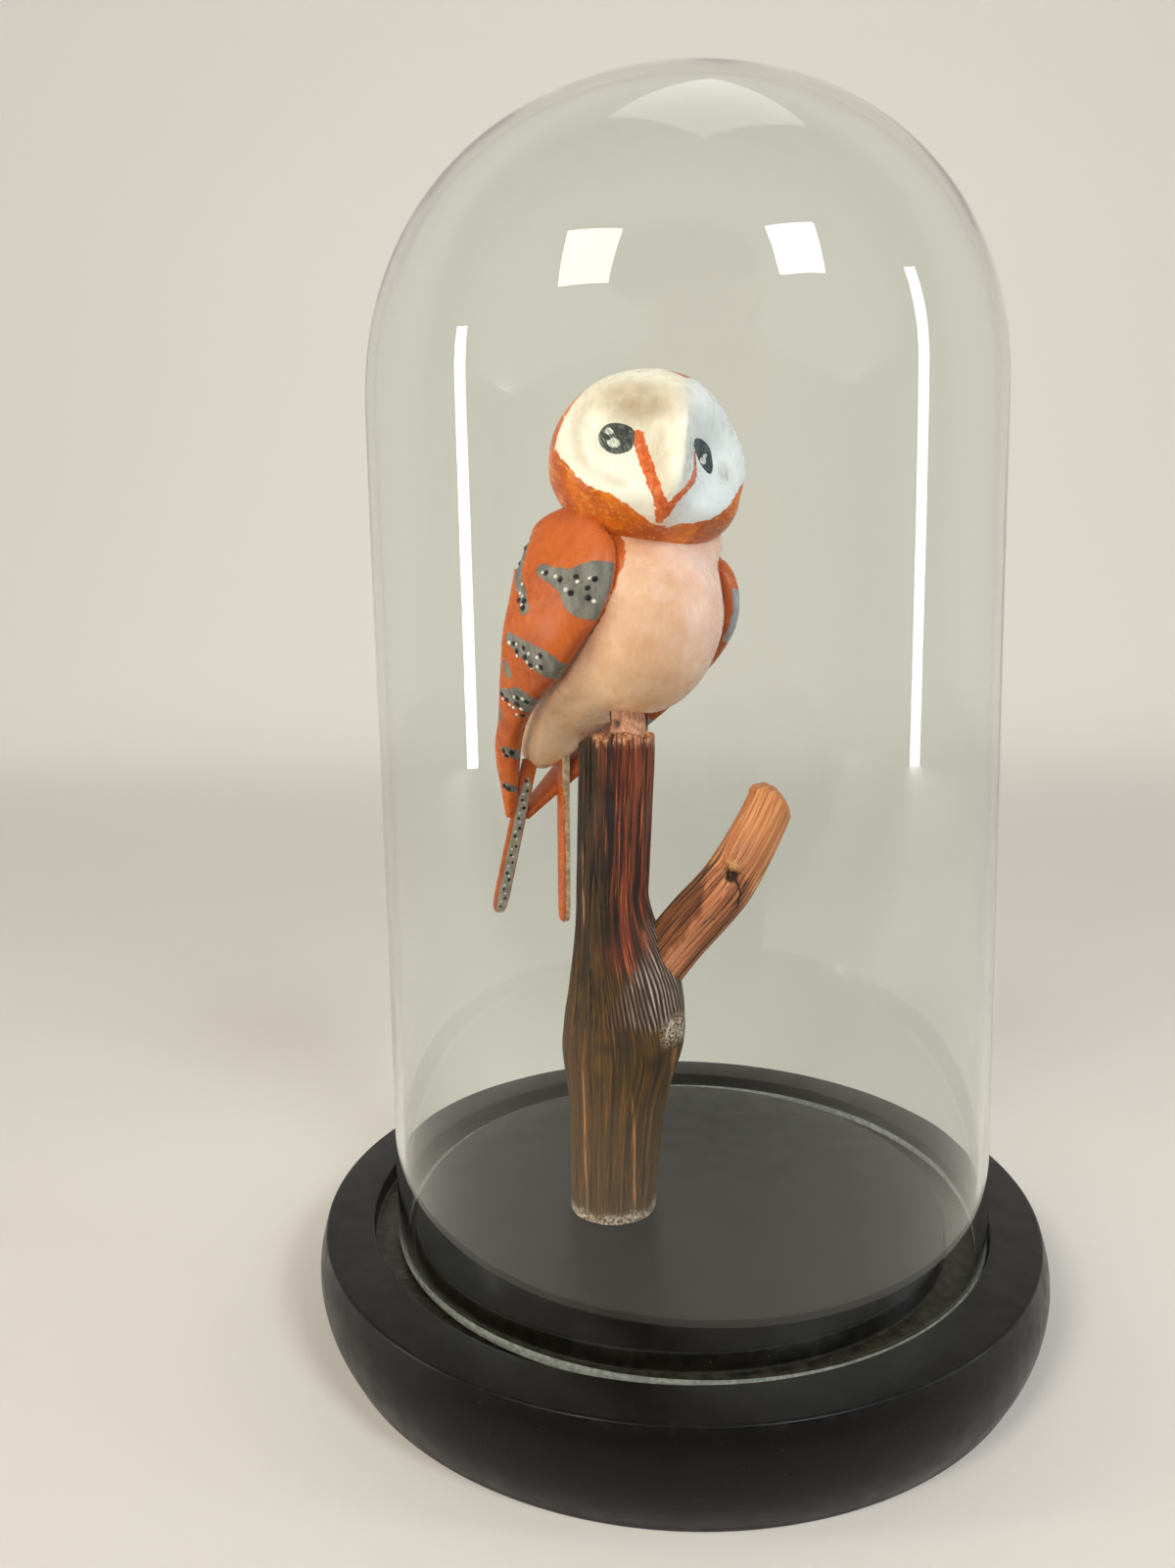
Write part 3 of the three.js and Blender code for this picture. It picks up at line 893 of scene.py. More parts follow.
@dataclass(frozen=True)
class EyePaint:
    """Dark ovals with pencil-like brush lines and pale painted highlights where the lamps would be
    reflected.
    """

    name: str
    deep: str
    plain: str
    line: str

    def material(self) -> bpy.types.Material:
        """Builds the finish."""
        w = Wiring(self.name)
        lines = w.noise(0.32, (1, 1, 9), 4, turn=(20, 28, 0))
        hatch = w.times(w.step(lines, 0.47, 0.62), w.step(w.noise(2.4), 0.4, 0.58, (0.3, 1)))
        colour = w.mix(hatch, w.cloud(2.5, self.deep, self.plain), self.line)
        # painted highlight: pale spots standing in for the lamps' reflections on the glossy eye
        glint = w.mix(w.step(lines, 0.4, 0.6), "a9ab9d", "e4e2d5")
        colour = w.mix(w.edge("glint", 0.16, 0.7, 0.05), colour, glint)
        return w.finish(colour, w.step(lines, 0.3, 0.7, (0.3, 0.42)), w.bump(lines, 0.02))


@dataclass(frozen=True)
class PeachPaint:
    """Peach breast, pinker and lighter on the left, partly pink paint and partly a painted highlight from
    the cool lamp; lighter underneath as painted light from below; orange where the wings meet it and on
    the back.
    """

    peach: BrushedPaint = BrushedPaint("daa37e", "e4b392", "f0cdb3", 0.27, (0, 0, 0), 0.8, 0.35)
    rosy: BrushedPaint = BrushedPaint("f0c0ac", "f6d0c0", "fce4d8", 0.27, (0, 0, 0), 0.8, 0.35)
    orange: BrushedPaint = BrushedPaint("a9480a", "ca5d12", "de8138")

    def material(self) -> bpy.types.Material:
        """Builds the finish."""
        w = Wiring("peach_paint")
        # the left side's lighter pink is partly pink paint and partly a painted highlight from the cool
        # lamp
        share = w.times(w.kept("rosy"), w.step(w.noise(5, (1, 1, 4)), 0.3, 0.65, (0.6, 1.25)))
        colour = w.mix(share, self.peach.colour(w), self.rosy.colour(w))
        # painted light: the underside is painted lighter, standing in for light bouncing up from below
        colour = w.mix(w.times(w.kept("under"), 0.8), colour, w.cloud(6, "f2c090", "f9d0a8"))
        colour = w.mix(w.edge("orange", 0.36, 2.2, 0.1), colour, self.orange.colour(w))
        return self.peach.cover(w, colour)


@dataclass(frozen=True)
class WingPaint:
    """Orange with grey brushed patches, painted shade on the wings' lower inner side, and a pale line
    that is unpainted wood on the tail slats and a painted highlight along the wings' back edge.
    """

    name: str
    grey: str = "625e57"
    pale: str = "827c72"
    orange: BrushedPaint = BrushedPaint("ae4a0a", "bf570e", "d2702e", 0.28, (0, 10, 0), 0.8)

    def material(self) -> bpy.types.Material:
        """Builds the finish."""
        w = Wiring(self.name)
        colour = w.mix(w.times(w.kept("rosy"), 0.5), self.orange.colour(w), "cc6838")
        # painted shade on the lower inner side of the wings and along one edge of the dotted tail slat
        colour = w.mix(w.times(w.kept("dark"), 0.75), colour, "7d3410")
        grey = w.cloud(1.8, self.grey, self.pale, stretch=(1, 1, 3), detail=4)
        colour = w.mix(w.edge("grey", 0.12, 1.5, 0.05), colour, grey)
        # pale line: unpainted wood on the tail slats, a painted highlight along the wings' back edge
        colour = w.mix(w.edge("bare", 0.12, 2.4, 0.08), colour, w.cloud(1.4, "a68a6a", "d9bd98"))
        return self.orange.cover(w, colour)


@dataclass(frozen=True)
class PaintDrop:
    """A small raised drop of thick paint."""

    name: str
    colour: str
    other: str

    def material(self) -> bpy.types.Material:
        """Builds the finish."""
        w = Wiring(self.name)
        rough = w.step(w.noise(0.6), 0.3, 0.7, (0.22, 0.34))
        return w.finish(w.cloud(0.4, self.colour, self.other), rough, w.bump(w.noise(0.3), 0.01))


@dataclass(frozen=True)
class RawWood:
    """Bare pinkish wood of the block between the feet and the twig, with painted shade in its small pit.
    """

    deep: str = "a06c52"
    light: str = "d6a184"

    def material(self) -> bpy.types.Material:
        """Builds the finish."""
        w = Wiring("raw_block")
        lines = w.noise(0.5, (1, 1, 8), 4)
        colour = w.mix(w.step(lines, 0.35, 0.7), self.deep, self.light)
        colour = w.mix(w.step(w.noise(2), 0.55, 0.75, (0, 0.6)), colour, "a0603f")
        # painted shade: the small pit is painted near black
        colour = w.mix(w.times(w.kept("hole"), 0.95), colour, "150d0a")
        return w.finish(colour, w.step(lines, 0.3, 0.7, (0.6, 0.8)), w.bump(lines, 0.1))


# ---- turned base and glass dome --------------------------------------------------------------------


@dataclass
class TurnedBase:
    """A round base with a flat ring, a groove for the glass and a flat middle."""

    height: float = from_box("base_plate", 1, 2)
    belly: float = from_box("base_plate", 1, 0)
    foot: float = 81.5
    top: float = 83.6
    groove_outer: float = 72.6
    groove_inner: float = 63.0
    groove_depth: float = 4.2
    foot_round: float = 0.8
    top_round: float = 0.75
    lip_round: float = 0.5
    groove_round: float = 0.6
    spare: float = 0.1  # how much the bulge stays inside the widest diameter
    side_rows: int = 18
    steps: int = 216

    def profile(self) -> list[tuple[float, float]]:
        """The turned outline, from the middle of the underside to the middle of the top."""
        side = []
        for i in range(1, self.side_rows):
            t = i / self.side_rows
            lean = self.foot + (self.top - self.foot) * t
            bulge = (self.belly - self.spare - (self.foot + self.top) / 2) * 4 * t * (1 - t)
            rise = (self.height - self.foot_round - 1.2 * self.top_round) * t
            side.append((lean + bulge, self.foot_round + rise))
        foot, top, lip, low = self.foot_round, self.top_round, self.lip_round, self.groove_round
        height, floor = self.height, self.height - self.groove_depth
        return [
            (0, 0),
            (40, 0),
            *rounded((self.foot - foot, foot), foot, -90, -10, 4),
            *side,
            *rounded((self.top - top, height - top), top, 8, 90, 6),
            *rounded((self.groove_outer + lip, height - lip), lip, 90, 180, 4),
            *rounded((self.groove_outer - low, floor + low), low, 0, -90, 4),
            *rounded((self.groove_inner + low, floor + low), low, 270, 180, 4),
            *rounded((self.groove_inner - low, height - low), low, 0, 90, 5),
            *((r, height) for r in (50, 30, 12, 0)),
        ]

    def build(self) -> None:
        """Turns the base and paints it."""
        piece = turn_on_lathe("black_base", self.profile(), self.steps)
        x, y, z = points_of(piece).T
        radius = np.hypot(x, y)
        inside = np.minimum(self.groove_outer - radius, radius - self.groove_inner)
        rim = np.abs(radius - self.top) + np.abs(z - self.height)
        mark(piece, groove=ease(inside, -0.6, 1.5) * (z > 10), rim=1 - ease(rim, 0.3, 1.4))
        smooth(piece, 40)
        mount(piece, Body.DISPLAY, "black_base", BlackLacquer().material(), "base_plate")


@dataclass
class GlassDome:
    """A thin blown dome with a ground foot rim."""

    low: np.ndarray = from_box("glass_dome", 0)
    high: np.ndarray = from_box("glass_dome", 1)
    glass: float = 2.0
    spring: float = 203.0
    squareness: float = 2.2
    frosted: float = 1.5
    wave: float = 0.16
    drawn_in: float = 0.17
    wall_rows: int = 20
    cap_rows: int = 32
    steps: int = 208

    @property
    def radius(self) -> float:
        """The dome's outer radius."""
        return (self.high[0] - self.low[0]) / 2

    def wall(self, shrink: float) -> list[tuple[float, float]]:
        """One side of the glass, from just above the foot to the middle of the top."""
        out = self.radius - shrink
        heights = [1.6, 4, 9, 16]
        heights += list(np.linspace(24, self.spring - self.low[2], self.wall_rows + 1))
        points = [(out, self.low[2] + h) for h in heights]
        for i in range(1, self.cap_rows + 1):
            a = i / self.cap_rows * math.pi / 2
            r = out * math.cos(a) ** (2 / self.squareness) if i < self.cap_rows else 0.0
            rise = (self.high[2] - self.spring - shrink) * math.sin(a) ** (2 / self.squareness)
            points.append((r, self.spring + rise))
        return points

    def build(self) -> None:
        """Turns the glass, makes it a little uneven, and grinds its foot."""
        half, foot = self.glass / 2, self.low[2]
        middle_x = (self.low[0] + self.high[0]) / 2
        rim = rounded((self.radius - half, foot + half), half, -180, 0, 8)
        profile = self.wall(self.glass)[::-1] + rim + self.wall(0)
        piece = turn_on_lathe("dome_glass", profile, self.steps, middle_x)
        points = points_of(piece)
        x, y, z = points.T
        radius = np.maximum(np.hypot(x - middle_x, y), 1e-6)
        out = np.column_stack([(x - middle_x) / radius, y / radius, 0 * z])
        share = ease(z, 24, 70) * ease(radius, 2, 25)
        uneven = Grain(5).at(out * 2.2 + np.outer(z / 60, [0, 0, 1]))
        push = (uneven * self.wave - self.drawn_in) * share
        move_points(piece, points + out * push[:, None])
        smooth(piece, 60)
        mount(piece, Body.DOME, "clear_glass", ClearGlass().material(), "glass_dome")
        piece.data.materials.append(GroundGlass().material())
        for face in piece.data.polygons:
            if face.center.z / MM < foot + self.frosted:
                face.material_index = 1


# ---- twig ------------------------------------------------------------------------------------------


@dataclass
class Stem:
    """The upright twig, swollen where the branch leaves it and torn off at the top."""

    foot: float = from_box("twig", 0, 2)
    cut: float = from_box("twig", 1, 2)
    top: float = 135.2
    middle_y: float = -8.9
    middle_x: tuple[float, ...] = (-14.8, -14.3, -13.4, -12.2, -12.9, -14.0, -13.6, -13.0, -12.4)
    radius: tuple[float, ...] = (10.0, 10.7, 11.6, 13.9, 11.2, 8.5, 8.3, 8.4, 8.6)
    swell: tuple[float, ...] = (0, 0.5, 1.6, 3.0, 3.8, 3.7, 2.7, 1.2, 0)
    swell_low: float = 58.0
    swell_high: float = 98.0
    joint: tuple[Pair, ...] = ((-20, 69), (-15, 68.2), (-10, 69.6), (-4, 68), (2, 72))
    fan_left: tuple[Pair, ...] = ((70, -16), (76, -13.8), (80, -10), (87, -6.2), (95, -5.8), (99, -5))
    fan_pitch: float = 4.4
    # Dark blots: across, up, half width, half height and depth.
    blots: Rows = (
        (-13.6, 117, 1.9, 10, 1.0),
        (-5.0, 61.5, 2.6, 3.5, 0.75),
        (-15.2, 65.6, 3.4, 2.2, 0.85),
        (-21.2, 112, 1.0, 18, 0.8),
        (-14.8, 98, 1.4, 9, 0.5),
    )
    # Pale lines: across, from, to and half width.
    lines: Rows = (
        (-20.1, 88, 112, 0.35), (-20.3, 22, 68, 0.4), (-9.3, 22, 52, 0.45), (-9.6, 46, 58, 0.3),
    )
    scar_at: Pair = (0.3, 68.2)
    scar_half: Pair = (4.0, 4.6)

    def station(self, t: float) -> Station:
        """The stem's cross-section at t, from the foot up."""
        z = self.foot + (self.top - 0.5 - self.foot) * t
        share = self.share(z)
        r = read(self.radius, share)
        return Station(np.array([read(self.middle_x, share), self.middle_y, z]), ACROSS, BACK, r, r)

    def share(self, z: float | np.ndarray) -> np.ndarray:
        """How far a height lies between the foot and the owl's stand."""
        return np.clip((z - self.foot) / (self.cut - self.foot), 0, 1)

    def build(self) -> None:
        """Swells, carves, marks and mounts the stem."""
        piece, turn, _ = Loft(self.station, 2.0, 0.1, 0.4, 300, 270, 0.01).build("twig_stem")
        points = points_of(piece)
        turn = (turn + math.pi) % TAU - math.pi
        out = np.column_stack([np.cos(turn), np.sin(turn), 0 * turn])
        share = self.share(points[:, 2])
        middle, radius = along(self.middle_x, share), along(self.radius, share)
        edge = np.hypot(points[:, 0] - middle, points[:, 1] - self.middle_y) / radius
        z = points[:, 2]
        up = (z - self.swell_low) / (self.swell_high - self.swell_low)
        points += out * (along(self.swell, np.clip(up, 0, 1)) * hill((turn + 0.2) / 1.5) * edge)[:, None]
        x = points[:, 0]
        front = ease(-np.sin(turn), -0.1, 0.35)
        joint = np.interp(x, *zip(*self.joint)) + 0.4 * Grain(23).at(points, 2.5)
        # The fan: ribs that run down from the crotch to the joint, its left side falling away.
        left = np.interp(z, *zip(*self.fan_left))
        fan = ease(x - left, -1.5, 2.5) * ease(z - joint, -0.5, 2.5) * (1 - ease(z, 95, 99)) * front
        fan *= 1 - ease(turn, 0.1, 0.5)
        drop = np.clip((self.swell_high - z) / 25, 0, 1.25)
        bent = turn - math.radians(8) * drop * front
        grain = np.column_stack([9 * np.cos(bent), 9 * np.sin(bent), z])
        wander = Grain(15).at(grain, 1.6, 6)
        high = ease(z - joint, -1, 2)
        groove = Grain(11).groove(grain, 1.2, 34, 0.2) * ease(wander, -0.7, 0.2)
        groove *= (0.3 + 0.7 * high) * (1 - fan)
        wave = Grain(12).at(grain, 1.7, 22) * 0.26 + Grain(14).at(grain, 0.8, 14) * 0.08
        push = wave * (0.55 + 0.45 * high) * (1 - 0.6 * fan) - 0.4 * groove
        crease = front * hill((z - joint) / 2.6) * hill((x + 11) / 12)
        scar = self.scar(x, z) * front
        rough = Grain(24).at(points, 0.7)
        push += 0.25 * fan - 0.35 * crease + scar * (0.5 + 0.35 * rough)
        push -= 0.15 * hill((z - joint + 3) / 4) * (1 - 0.6 * front)
        points += out * (push * ease(edge, 0.6, 1))[:, None]
        fray = Grain(21).at(grain * np.array([1, 1, 0.2]), 0.8)
        lost = 0.6 + 0.9 * fray + 1.6 * ease(-x, 17.5, 21) + 0.5 * ease(-front, -0.5, 0)
        points[:, 2] -= ease(z, self.top - 3, self.top - 0.5) * lost * ease(edge, 0.3, 1)
        points[:, 2] = np.clip(points[:, 2], self.foot, self.top)
        move_points(piece, points)
        self.note(piece, points, front, wander, joint)
        mark(
            piece,
            grain=grain,
            fan=fan,
            ridge=bent * 360 / self.fan_pitch,
            crack=np.maximum(0.9 * groove, 0.35 * crease * ease(wander, -0.6, 0.6)),
            dry=0.25 + 0.75 * high,
        )
        mount(piece, Body.DISPLAY, "twig_wood", StemWood().material(), "twig")

    def scar(self, x: np.ndarray, z: np.ndarray) -> np.ndarray:
        """The pale healed scar beside the joint, 1 in its middle."""
        (side, up), (wide, tall) = self.scar_at, self.scar_half
        return hill((x - side) / wide) * hill((z - up) / tall)

    def note(
        self,
        piece: bpy.types.Object,
        points: np.ndarray,
        front: np.ndarray,
        wander: np.ndarray,
        joint: np.ndarray,
    ) -> None:
        """Keeps where each colour of wood lies.

        Args:
            piece: The stem.
            points: Its points.
            front: 1 on its front and 0 on its back.
            wander: Noise along its grain.
            joint: How high the joint lies beside each point.
        """
        x, _, z = points.T
        stain = 0.45 * hill((z - joint + 2) / 3.4) * hill((x + 12) / 9)
        for across, up, wide, tall, depth in self.blots:
            stain = np.maximum(stain, depth * hill((x - across) / wide) * hill((z - up) / tall))
        pale = np.zeros(len(z))
        for middle, low, high, half in self.lines:
            there = ease(z, low, low + 8) * (1 - ease(z, high - 8, high))
            pale = np.maximum(pale, hill((x - middle - 0.3 * wander) / half) * there)
        edge = hill((x - (-0.2 - (60 - z) * 0.1)) / 0.9) * (z < 64)
        foot = 1 - ease(z + 1.3 * wander, self.foot + 0.8, self.foot + 3.6)
        torn = ease(z + 0.9 * wander, self.top - 3.8, self.top - 1.6) * ease(x, -18, -16.5)
        chip = hill((x + 3.2) / 1.6) * hill((z - self.top + 2.2) / 3.2)
        crust = np.maximum(np.clip(self.scar(x, z) * 1.6, 0, 1), foot) * front
        mark(
            piece,
            red=ease(x, -17.5, -10.5) * ease(z, 70, 90),
            low=1 - ease(z - joint, -2, 24),
            stain=stain * front,
            pale=np.maximum(pale, edge * 0.6) * front,
            crust=np.maximum(crust, 1.4 * chip),
            torn=torn,
            silver=ease(x + (z - joint) * 0.1, -13, -5),
        )


@dataclass
class Limb:
    """The cut side branch with its knot.

    Places on its face are distances across it and along it.
    """

    start: tuple[float, float, float] = (-11.9, -8.9, 65.6)
    end: tuple[float, float, float] = (24.0, -10.5, 120.9)
    sway: tuple[float, ...] = (-1.6, -1.6, -1.6, -1.0, 0.1, 1.25, 1.05, 0.2, -0.9)
    radius: tuple[float, ...] = (6.0, 6.3, 6.5, 6.5, 6.6, 6.3, 5.9, 5.5, 5.3)
    slope: tuple[Pair, ...] = ((-6.2, 2.8), (-4, 0.9), (-1, 0.7), (2.5, 1.8), (5.2, 3.8))
    knot: Pair = (-0.5, 47.5)
    hollow: Pair = (0.4, 45.2)
    spot: Pair = (2.5, 34.8)
    split: Rows = (
        (-0.9, 45.8, 0.1), (1.2, 45.0, 0.2), (2.5, 44.4, 0.18), (4.3, 42.8, 0.1), (5.0, 41.2, 0.18),
        (5.9, 39.2, 0.05),
    )

    def frame(self) -> tuple[np.ndarray, np.ndarray, np.ndarray]:
        """The branch's directions: across, to the back, and along."""
        aim = unit(np.subtract(self.end, self.start))
        back = unit(BACK - aim[1] * aim)
        return np.cross(back, aim), back, aim

    def own(self, points: np.ndarray | Sequence[float]) -> np.ndarray:
        """A place's distances across, back and along the branch."""
        return (np.asarray(points, float) - self.start) @ np.array(self.frame()).T

    def station(self, t: float) -> Station:
        """The branch's cross-section at t, from inside the stem out."""
        across, back, _ = self.frame()
        r = read(self.radius, t)
        middle = np.asarray(self.start) + t * np.subtract(self.end, self.start)
        return Station(middle + read(self.sway, t) * across, across, back, r, r * 0.97)

    def build(self) -> None:
        """Carves, marks and mounts the branch."""
        loft = Loft(self.station, 2.05, 1.0, 0.9, 180, 220, 0.025)
        piece, turn, _ = loft.build("twig_limb")
        points, normals = points_of(piece), points_of(piece, "normal")
        side, back, run = self.own(points).T
        front = ease(-back, 0, 2)
        flat = np.column_stack([side, run])
        off = flat - self.knot
        around = np.hypot(off[:, 0], off[:, 1] + 1)
        swirl = front * np.minimum((2.3 / np.maximum(around, 0.1)) ** 2, 1)
        bent = turn + off[:, 0] * swirl / 11
        grain = np.column_stack([6 * np.cos(bent) + 40, 6 * np.sin(bent), run])
        length = np.linalg.norm(np.subtract(self.end, self.start))
        dry = 1 - ease(run, length * 0.72, length * 0.84)
        nub = front * hill(np.hypot(off[:, 0] / 2.4, off[:, 1] / 1.5)) ** 0.45
        pit = front * hill(np.linalg.norm(flat - self.hollow, axis=1) / 2.3) * (1 - nub)
        spot = front * hill(np.linalg.norm(flat - self.spot, axis=1) / 0.7)
        split = front * ease(inside_stroke(flat, curve(self.split)), -0.25, 0.1)
        ragged = np.clip(pit * 1.6, 0, 1) * ease(Grain(18).at(points, 0.6), -0.7, 0.2)
        crack = Grain(16).groove(grain, 1.2, 24, 0.16) * (0.2 + 0.5 * dry)
        crack = np.max([crack, split, ragged, 0.7 * spot], axis=0) * (1 - nub)
        wave = Grain(17).at(grain, 1.5, 18) * 0.16 + Grain(19).at(grain, 0.8, 12) * 0.05
        crumple = Grain(20).at(points, 0.8) * 0.45 * np.maximum(nub, pit)
        push = wave - 0.3 * crack + 1.7 * nub - 1.4 * pit + crumple
        slope = np.interp(side, *zip(*self.slope)) + Grain(22).at(points, 1.1) * 0.3
        slope += ease(-side, 4.5, 5.5) * 0.9 * Grain(25).at(points, 0.5)
        cut = ease(run, length - 3.5, length + 0.3) * slope
        points += normals * push[:, None] - self.frame()[2] * cut[:, None]
        move_points(piece, points)
        mark(
            piece,
            grain=grain,
            crack=crack,
            dry=0.3 + 0.7 * dry,
            tip=ease(run, length * 0.6, length * 0.76),
            brown=ease(-side, -1.5, 4) * (1 - ease(run, length * 0.56, length * 0.68)),
            knot=nub,
            hollow=front * hill(around / 3.6) * (1 - nub),
            greyed=front * hill(np.hypot(off[:, 0] - 1, off[:, 1] - 4) / 6.5),
        )
        mount(piece, Body.DISPLAY, "twig_wood", LimbWood().material())


# ---- owl -------------------------------------------------------------------------------------------


@dataclass(frozen=True)
class Knife:
    """One cut of the knife on the head, or with a negative depth a place left full."""

    direction: tuple[float, float, float]
    reach: float
    depth: float

    def cut(self, direction: np.ndarray) -> np.ndarray:
        """How deep the cut goes in each direction from the head's middle."""
        off = np.arccos(np.clip(direction @ unit(self.direction), -1, 1))
        return self.depth * hill(off / self.reach)


@dataclass
class OwlHead:
    """A ball with two dished eye hollows, a ridge between them and a painted white face."""

    place: Place
    lean: float = 10.0
    front: float = 22.0
    back: float = 18.5
    width: float = 21.7
    crown: float = 20.0
    chin: float = 20.2
    dish_side: float = 10.5
    dish_up: float = 2.0
    dish_radius: float = 13.0
    dish_depth: float = 6.5
    ridge_side: float = -0.8
    ridge_lean: float = 0.04
    ridge_height: float = 3.2
    ridge_width: float = 3.7
    knife: tuple[Knife, ...] = (
        Knife((0.38, 0.66, 0.64), 0.55, 1.4),
        Knife((0.34, 0.83, -0.45), 0.4, -0.8),
        Knife((0.3, 0.95, 0.15), 0.4, -0.6),
        Knife((-0.21, -0.68, -0.7), 0.5, 1.3),
    )
    brow_at: Pair = (-8.6, 10.2)
    brow_half: Pair = (10.5, 6.4)
    # Soft shading beside the ridge: side, lean, up, half width, half height and depth.
    shading: Rows = ((-4.4, -0.12, -1, 2.8, 14, 0.45), (1.9, 0.05, -4, 1.8, 8, 0.35))
    hollow_at: Pair = (-9.5, 2.5)
    hollow_rim: Pair = (9.6, 1.8)  # its radius, and half the width of its shading
    smudge_at: Pair = (13.8, -0.3)
    smudge_half: Pair = (3.4, 3.6)
    white_edge: Rows = (
        (-24, 3.5), (-20, -3.9), (-16, -8.1), (-12, -9.4), (-8, -11.2), (-4, -13.2),
        (0, -14.1), (4, -13.0), (8, -11.7), (12, -9.9), (16, -6.1), (20, -0.7), (24, 4.5),
    )
    long_stroke: Rows = (
        (14.2, -7.6, 5.5, 1.3), (14.6, -6.5, 1.4, 1.3), (18.2, -5.2, -3.0, 1.35),
        (21.4, -3.9, -7.2, 1.3), (22.0, -2.3, -10.2, 1.5), (19.2, -1.3, -13.2, 0.7),
    )
    thin_stroke: Rows = (
        (16.1, 5.1, 2.5, 0.45), (15.6, 5.6, 0.2, 0.7), (18.6, 4.8, -3.1, 0.85),
        (22.8, 1.7, -6.8, 0.85), (22.8, -0.4, -9.8, 1.0), (20.6, -1.2, -12.0, 1.1),
    )

    def surface(self, direction: np.ndarray) -> np.ndarray:
        """The head's surface in each direction from its middle, in its own coordinates."""
        a = math.radians(-self.lean)
        ex = direction[:, 0]
        ey = direction[:, 1] * math.cos(a) - direction[:, 2] * math.sin(a)
        ez = direction[:, 1] * math.sin(a) + direction[:, 2] * math.cos(a)
        n = 2.12 - 0.1 * ez
        total = (
            np.abs(ex / np.where(ex > 0, self.front, self.back)) ** n
            + np.abs(ey / self.width) ** n
            + np.abs(ez / np.where(ez > 0, self.crown, self.chin)) ** n
        )
        reach = total ** (-1 / n)
        p = direction * reach[:, None]
        front = np.clip(direction[:, 0] * 2.2, 0, 1)
        away = np.hypot(np.abs(p[:, 1]) - self.dish_side, p[:, 2] - self.dish_up)
        change = -self.dish_depth * hill(away / self.dish_radius) * front
        span = np.where(p[:, 2] > -7, 27.0, 8.0)
        keel = np.cos(np.minimum(1, np.abs(p[:, 2] + 7) / span) * math.pi / 2)
        across = (p[:, 1] - self.ridge_side + self.ridge_lean * (p[:, 2] + 10)) / self.ridge_width
        change += self.ridge_height * keel * np.exp(-across * across) * front
        change -= sum(k.cut(direction) for k in self.knife)
        return direction * (reach + change)[:, None]

    def build(self) -> bpy.types.Object:
        """Shapes the ball, paints it and mounts it."""

        def shape(turn: np.ndarray, share: np.ndarray) -> np.ndarray:
            """Places the ball's points, closest together on the face."""
            turn = turn + math.pi
            turn = turn - 0.4 * np.sin(turn)
            flat, up = np.sin(math.pi * share), -np.cos(math.pi * share)
            return self.surface(np.column_stack([flat * np.cos(turn), flat * np.sin(turn), up]))

        piece, _, _ = wrap("owl_head_ball", 300, 180, shape)
        local = points_of(piece)
        white, stroke = self.fields(local)
        raised = ease(stroke, -0.15, 0.3) * 0.14 + ease(white, -0.25, 0.25) * 0.08
        cut = Grain(31).at(local, 4.5) * 0.12
        local = local + unit(local) * (raised + cut)[:, None]
        move_points(piece, self.place.out(local))
        x, y, z = local.T
        front = x > 0
        flat = local[:, 1:]
        shade = 1.1 * hill(np.linalg.norm((flat - self.brow_at) / self.brow_half, axis=1)) ** 0.75
        radius, half = self.hollow_rim
        rim = hill((np.linalg.norm(flat - self.hollow_at, axis=1) - radius) / half)
        shade = np.maximum(shade, 0.45 * rim * (y < -9))
        for side, lean, up, wide, tall, depth in self.shading:
            shade = np.maximum(shade, depth * hill((y - side - lean * z) / wide) * hill((z - up) / tall))
        smudge = hill(np.linalg.norm((flat - self.smudge_at) / self.smudge_half, axis=1))
        mark(
            piece,
            white=white,
            stroke=stroke,
            shade=np.clip(shade, 0, 1) * front,
            smudge=smudge * front,
            # painted light: the half of the face towards the cool lamp takes the cool white
            cool=ease(y, -2, 4),
        )
        mount(piece, Body.DISPLAY, "head_paint", HeadPaint().material(), "owl_head", "owl_face")
        return piece

    def fields(self, local: np.ndarray) -> tuple[np.ndarray, np.ndarray]:
        """Distances inside the white of the face and inside the orange lines."""
        edge = curve(self.white_edge, 72)
        height = np.interp(local[:, 1], edge[:, 0], edge[:, 1])
        slope = np.interp(local[:, 1], edge[:, 0], np.gradient(edge[:, 1], edge[:, 0]))
        above = (local[:, 2] - height) / np.sqrt(1 + slope**2)
        crown = 10.0 * ease(local[:, 2], 13, 17) * hill((local[:, 1] - 1.3) / 7)
        back = (local[:, 0] - 2.0 - crown - 0.4 * np.sin(local[:, 2] / 3)) * 0.9
        long, thin = (inside_stroke(local, curve(s)) for s in (self.long_stroke, self.thin_stroke))
        return np.minimum(above, back), np.maximum(np.minimum(long, 4.3 - local[:, 2]), thin)


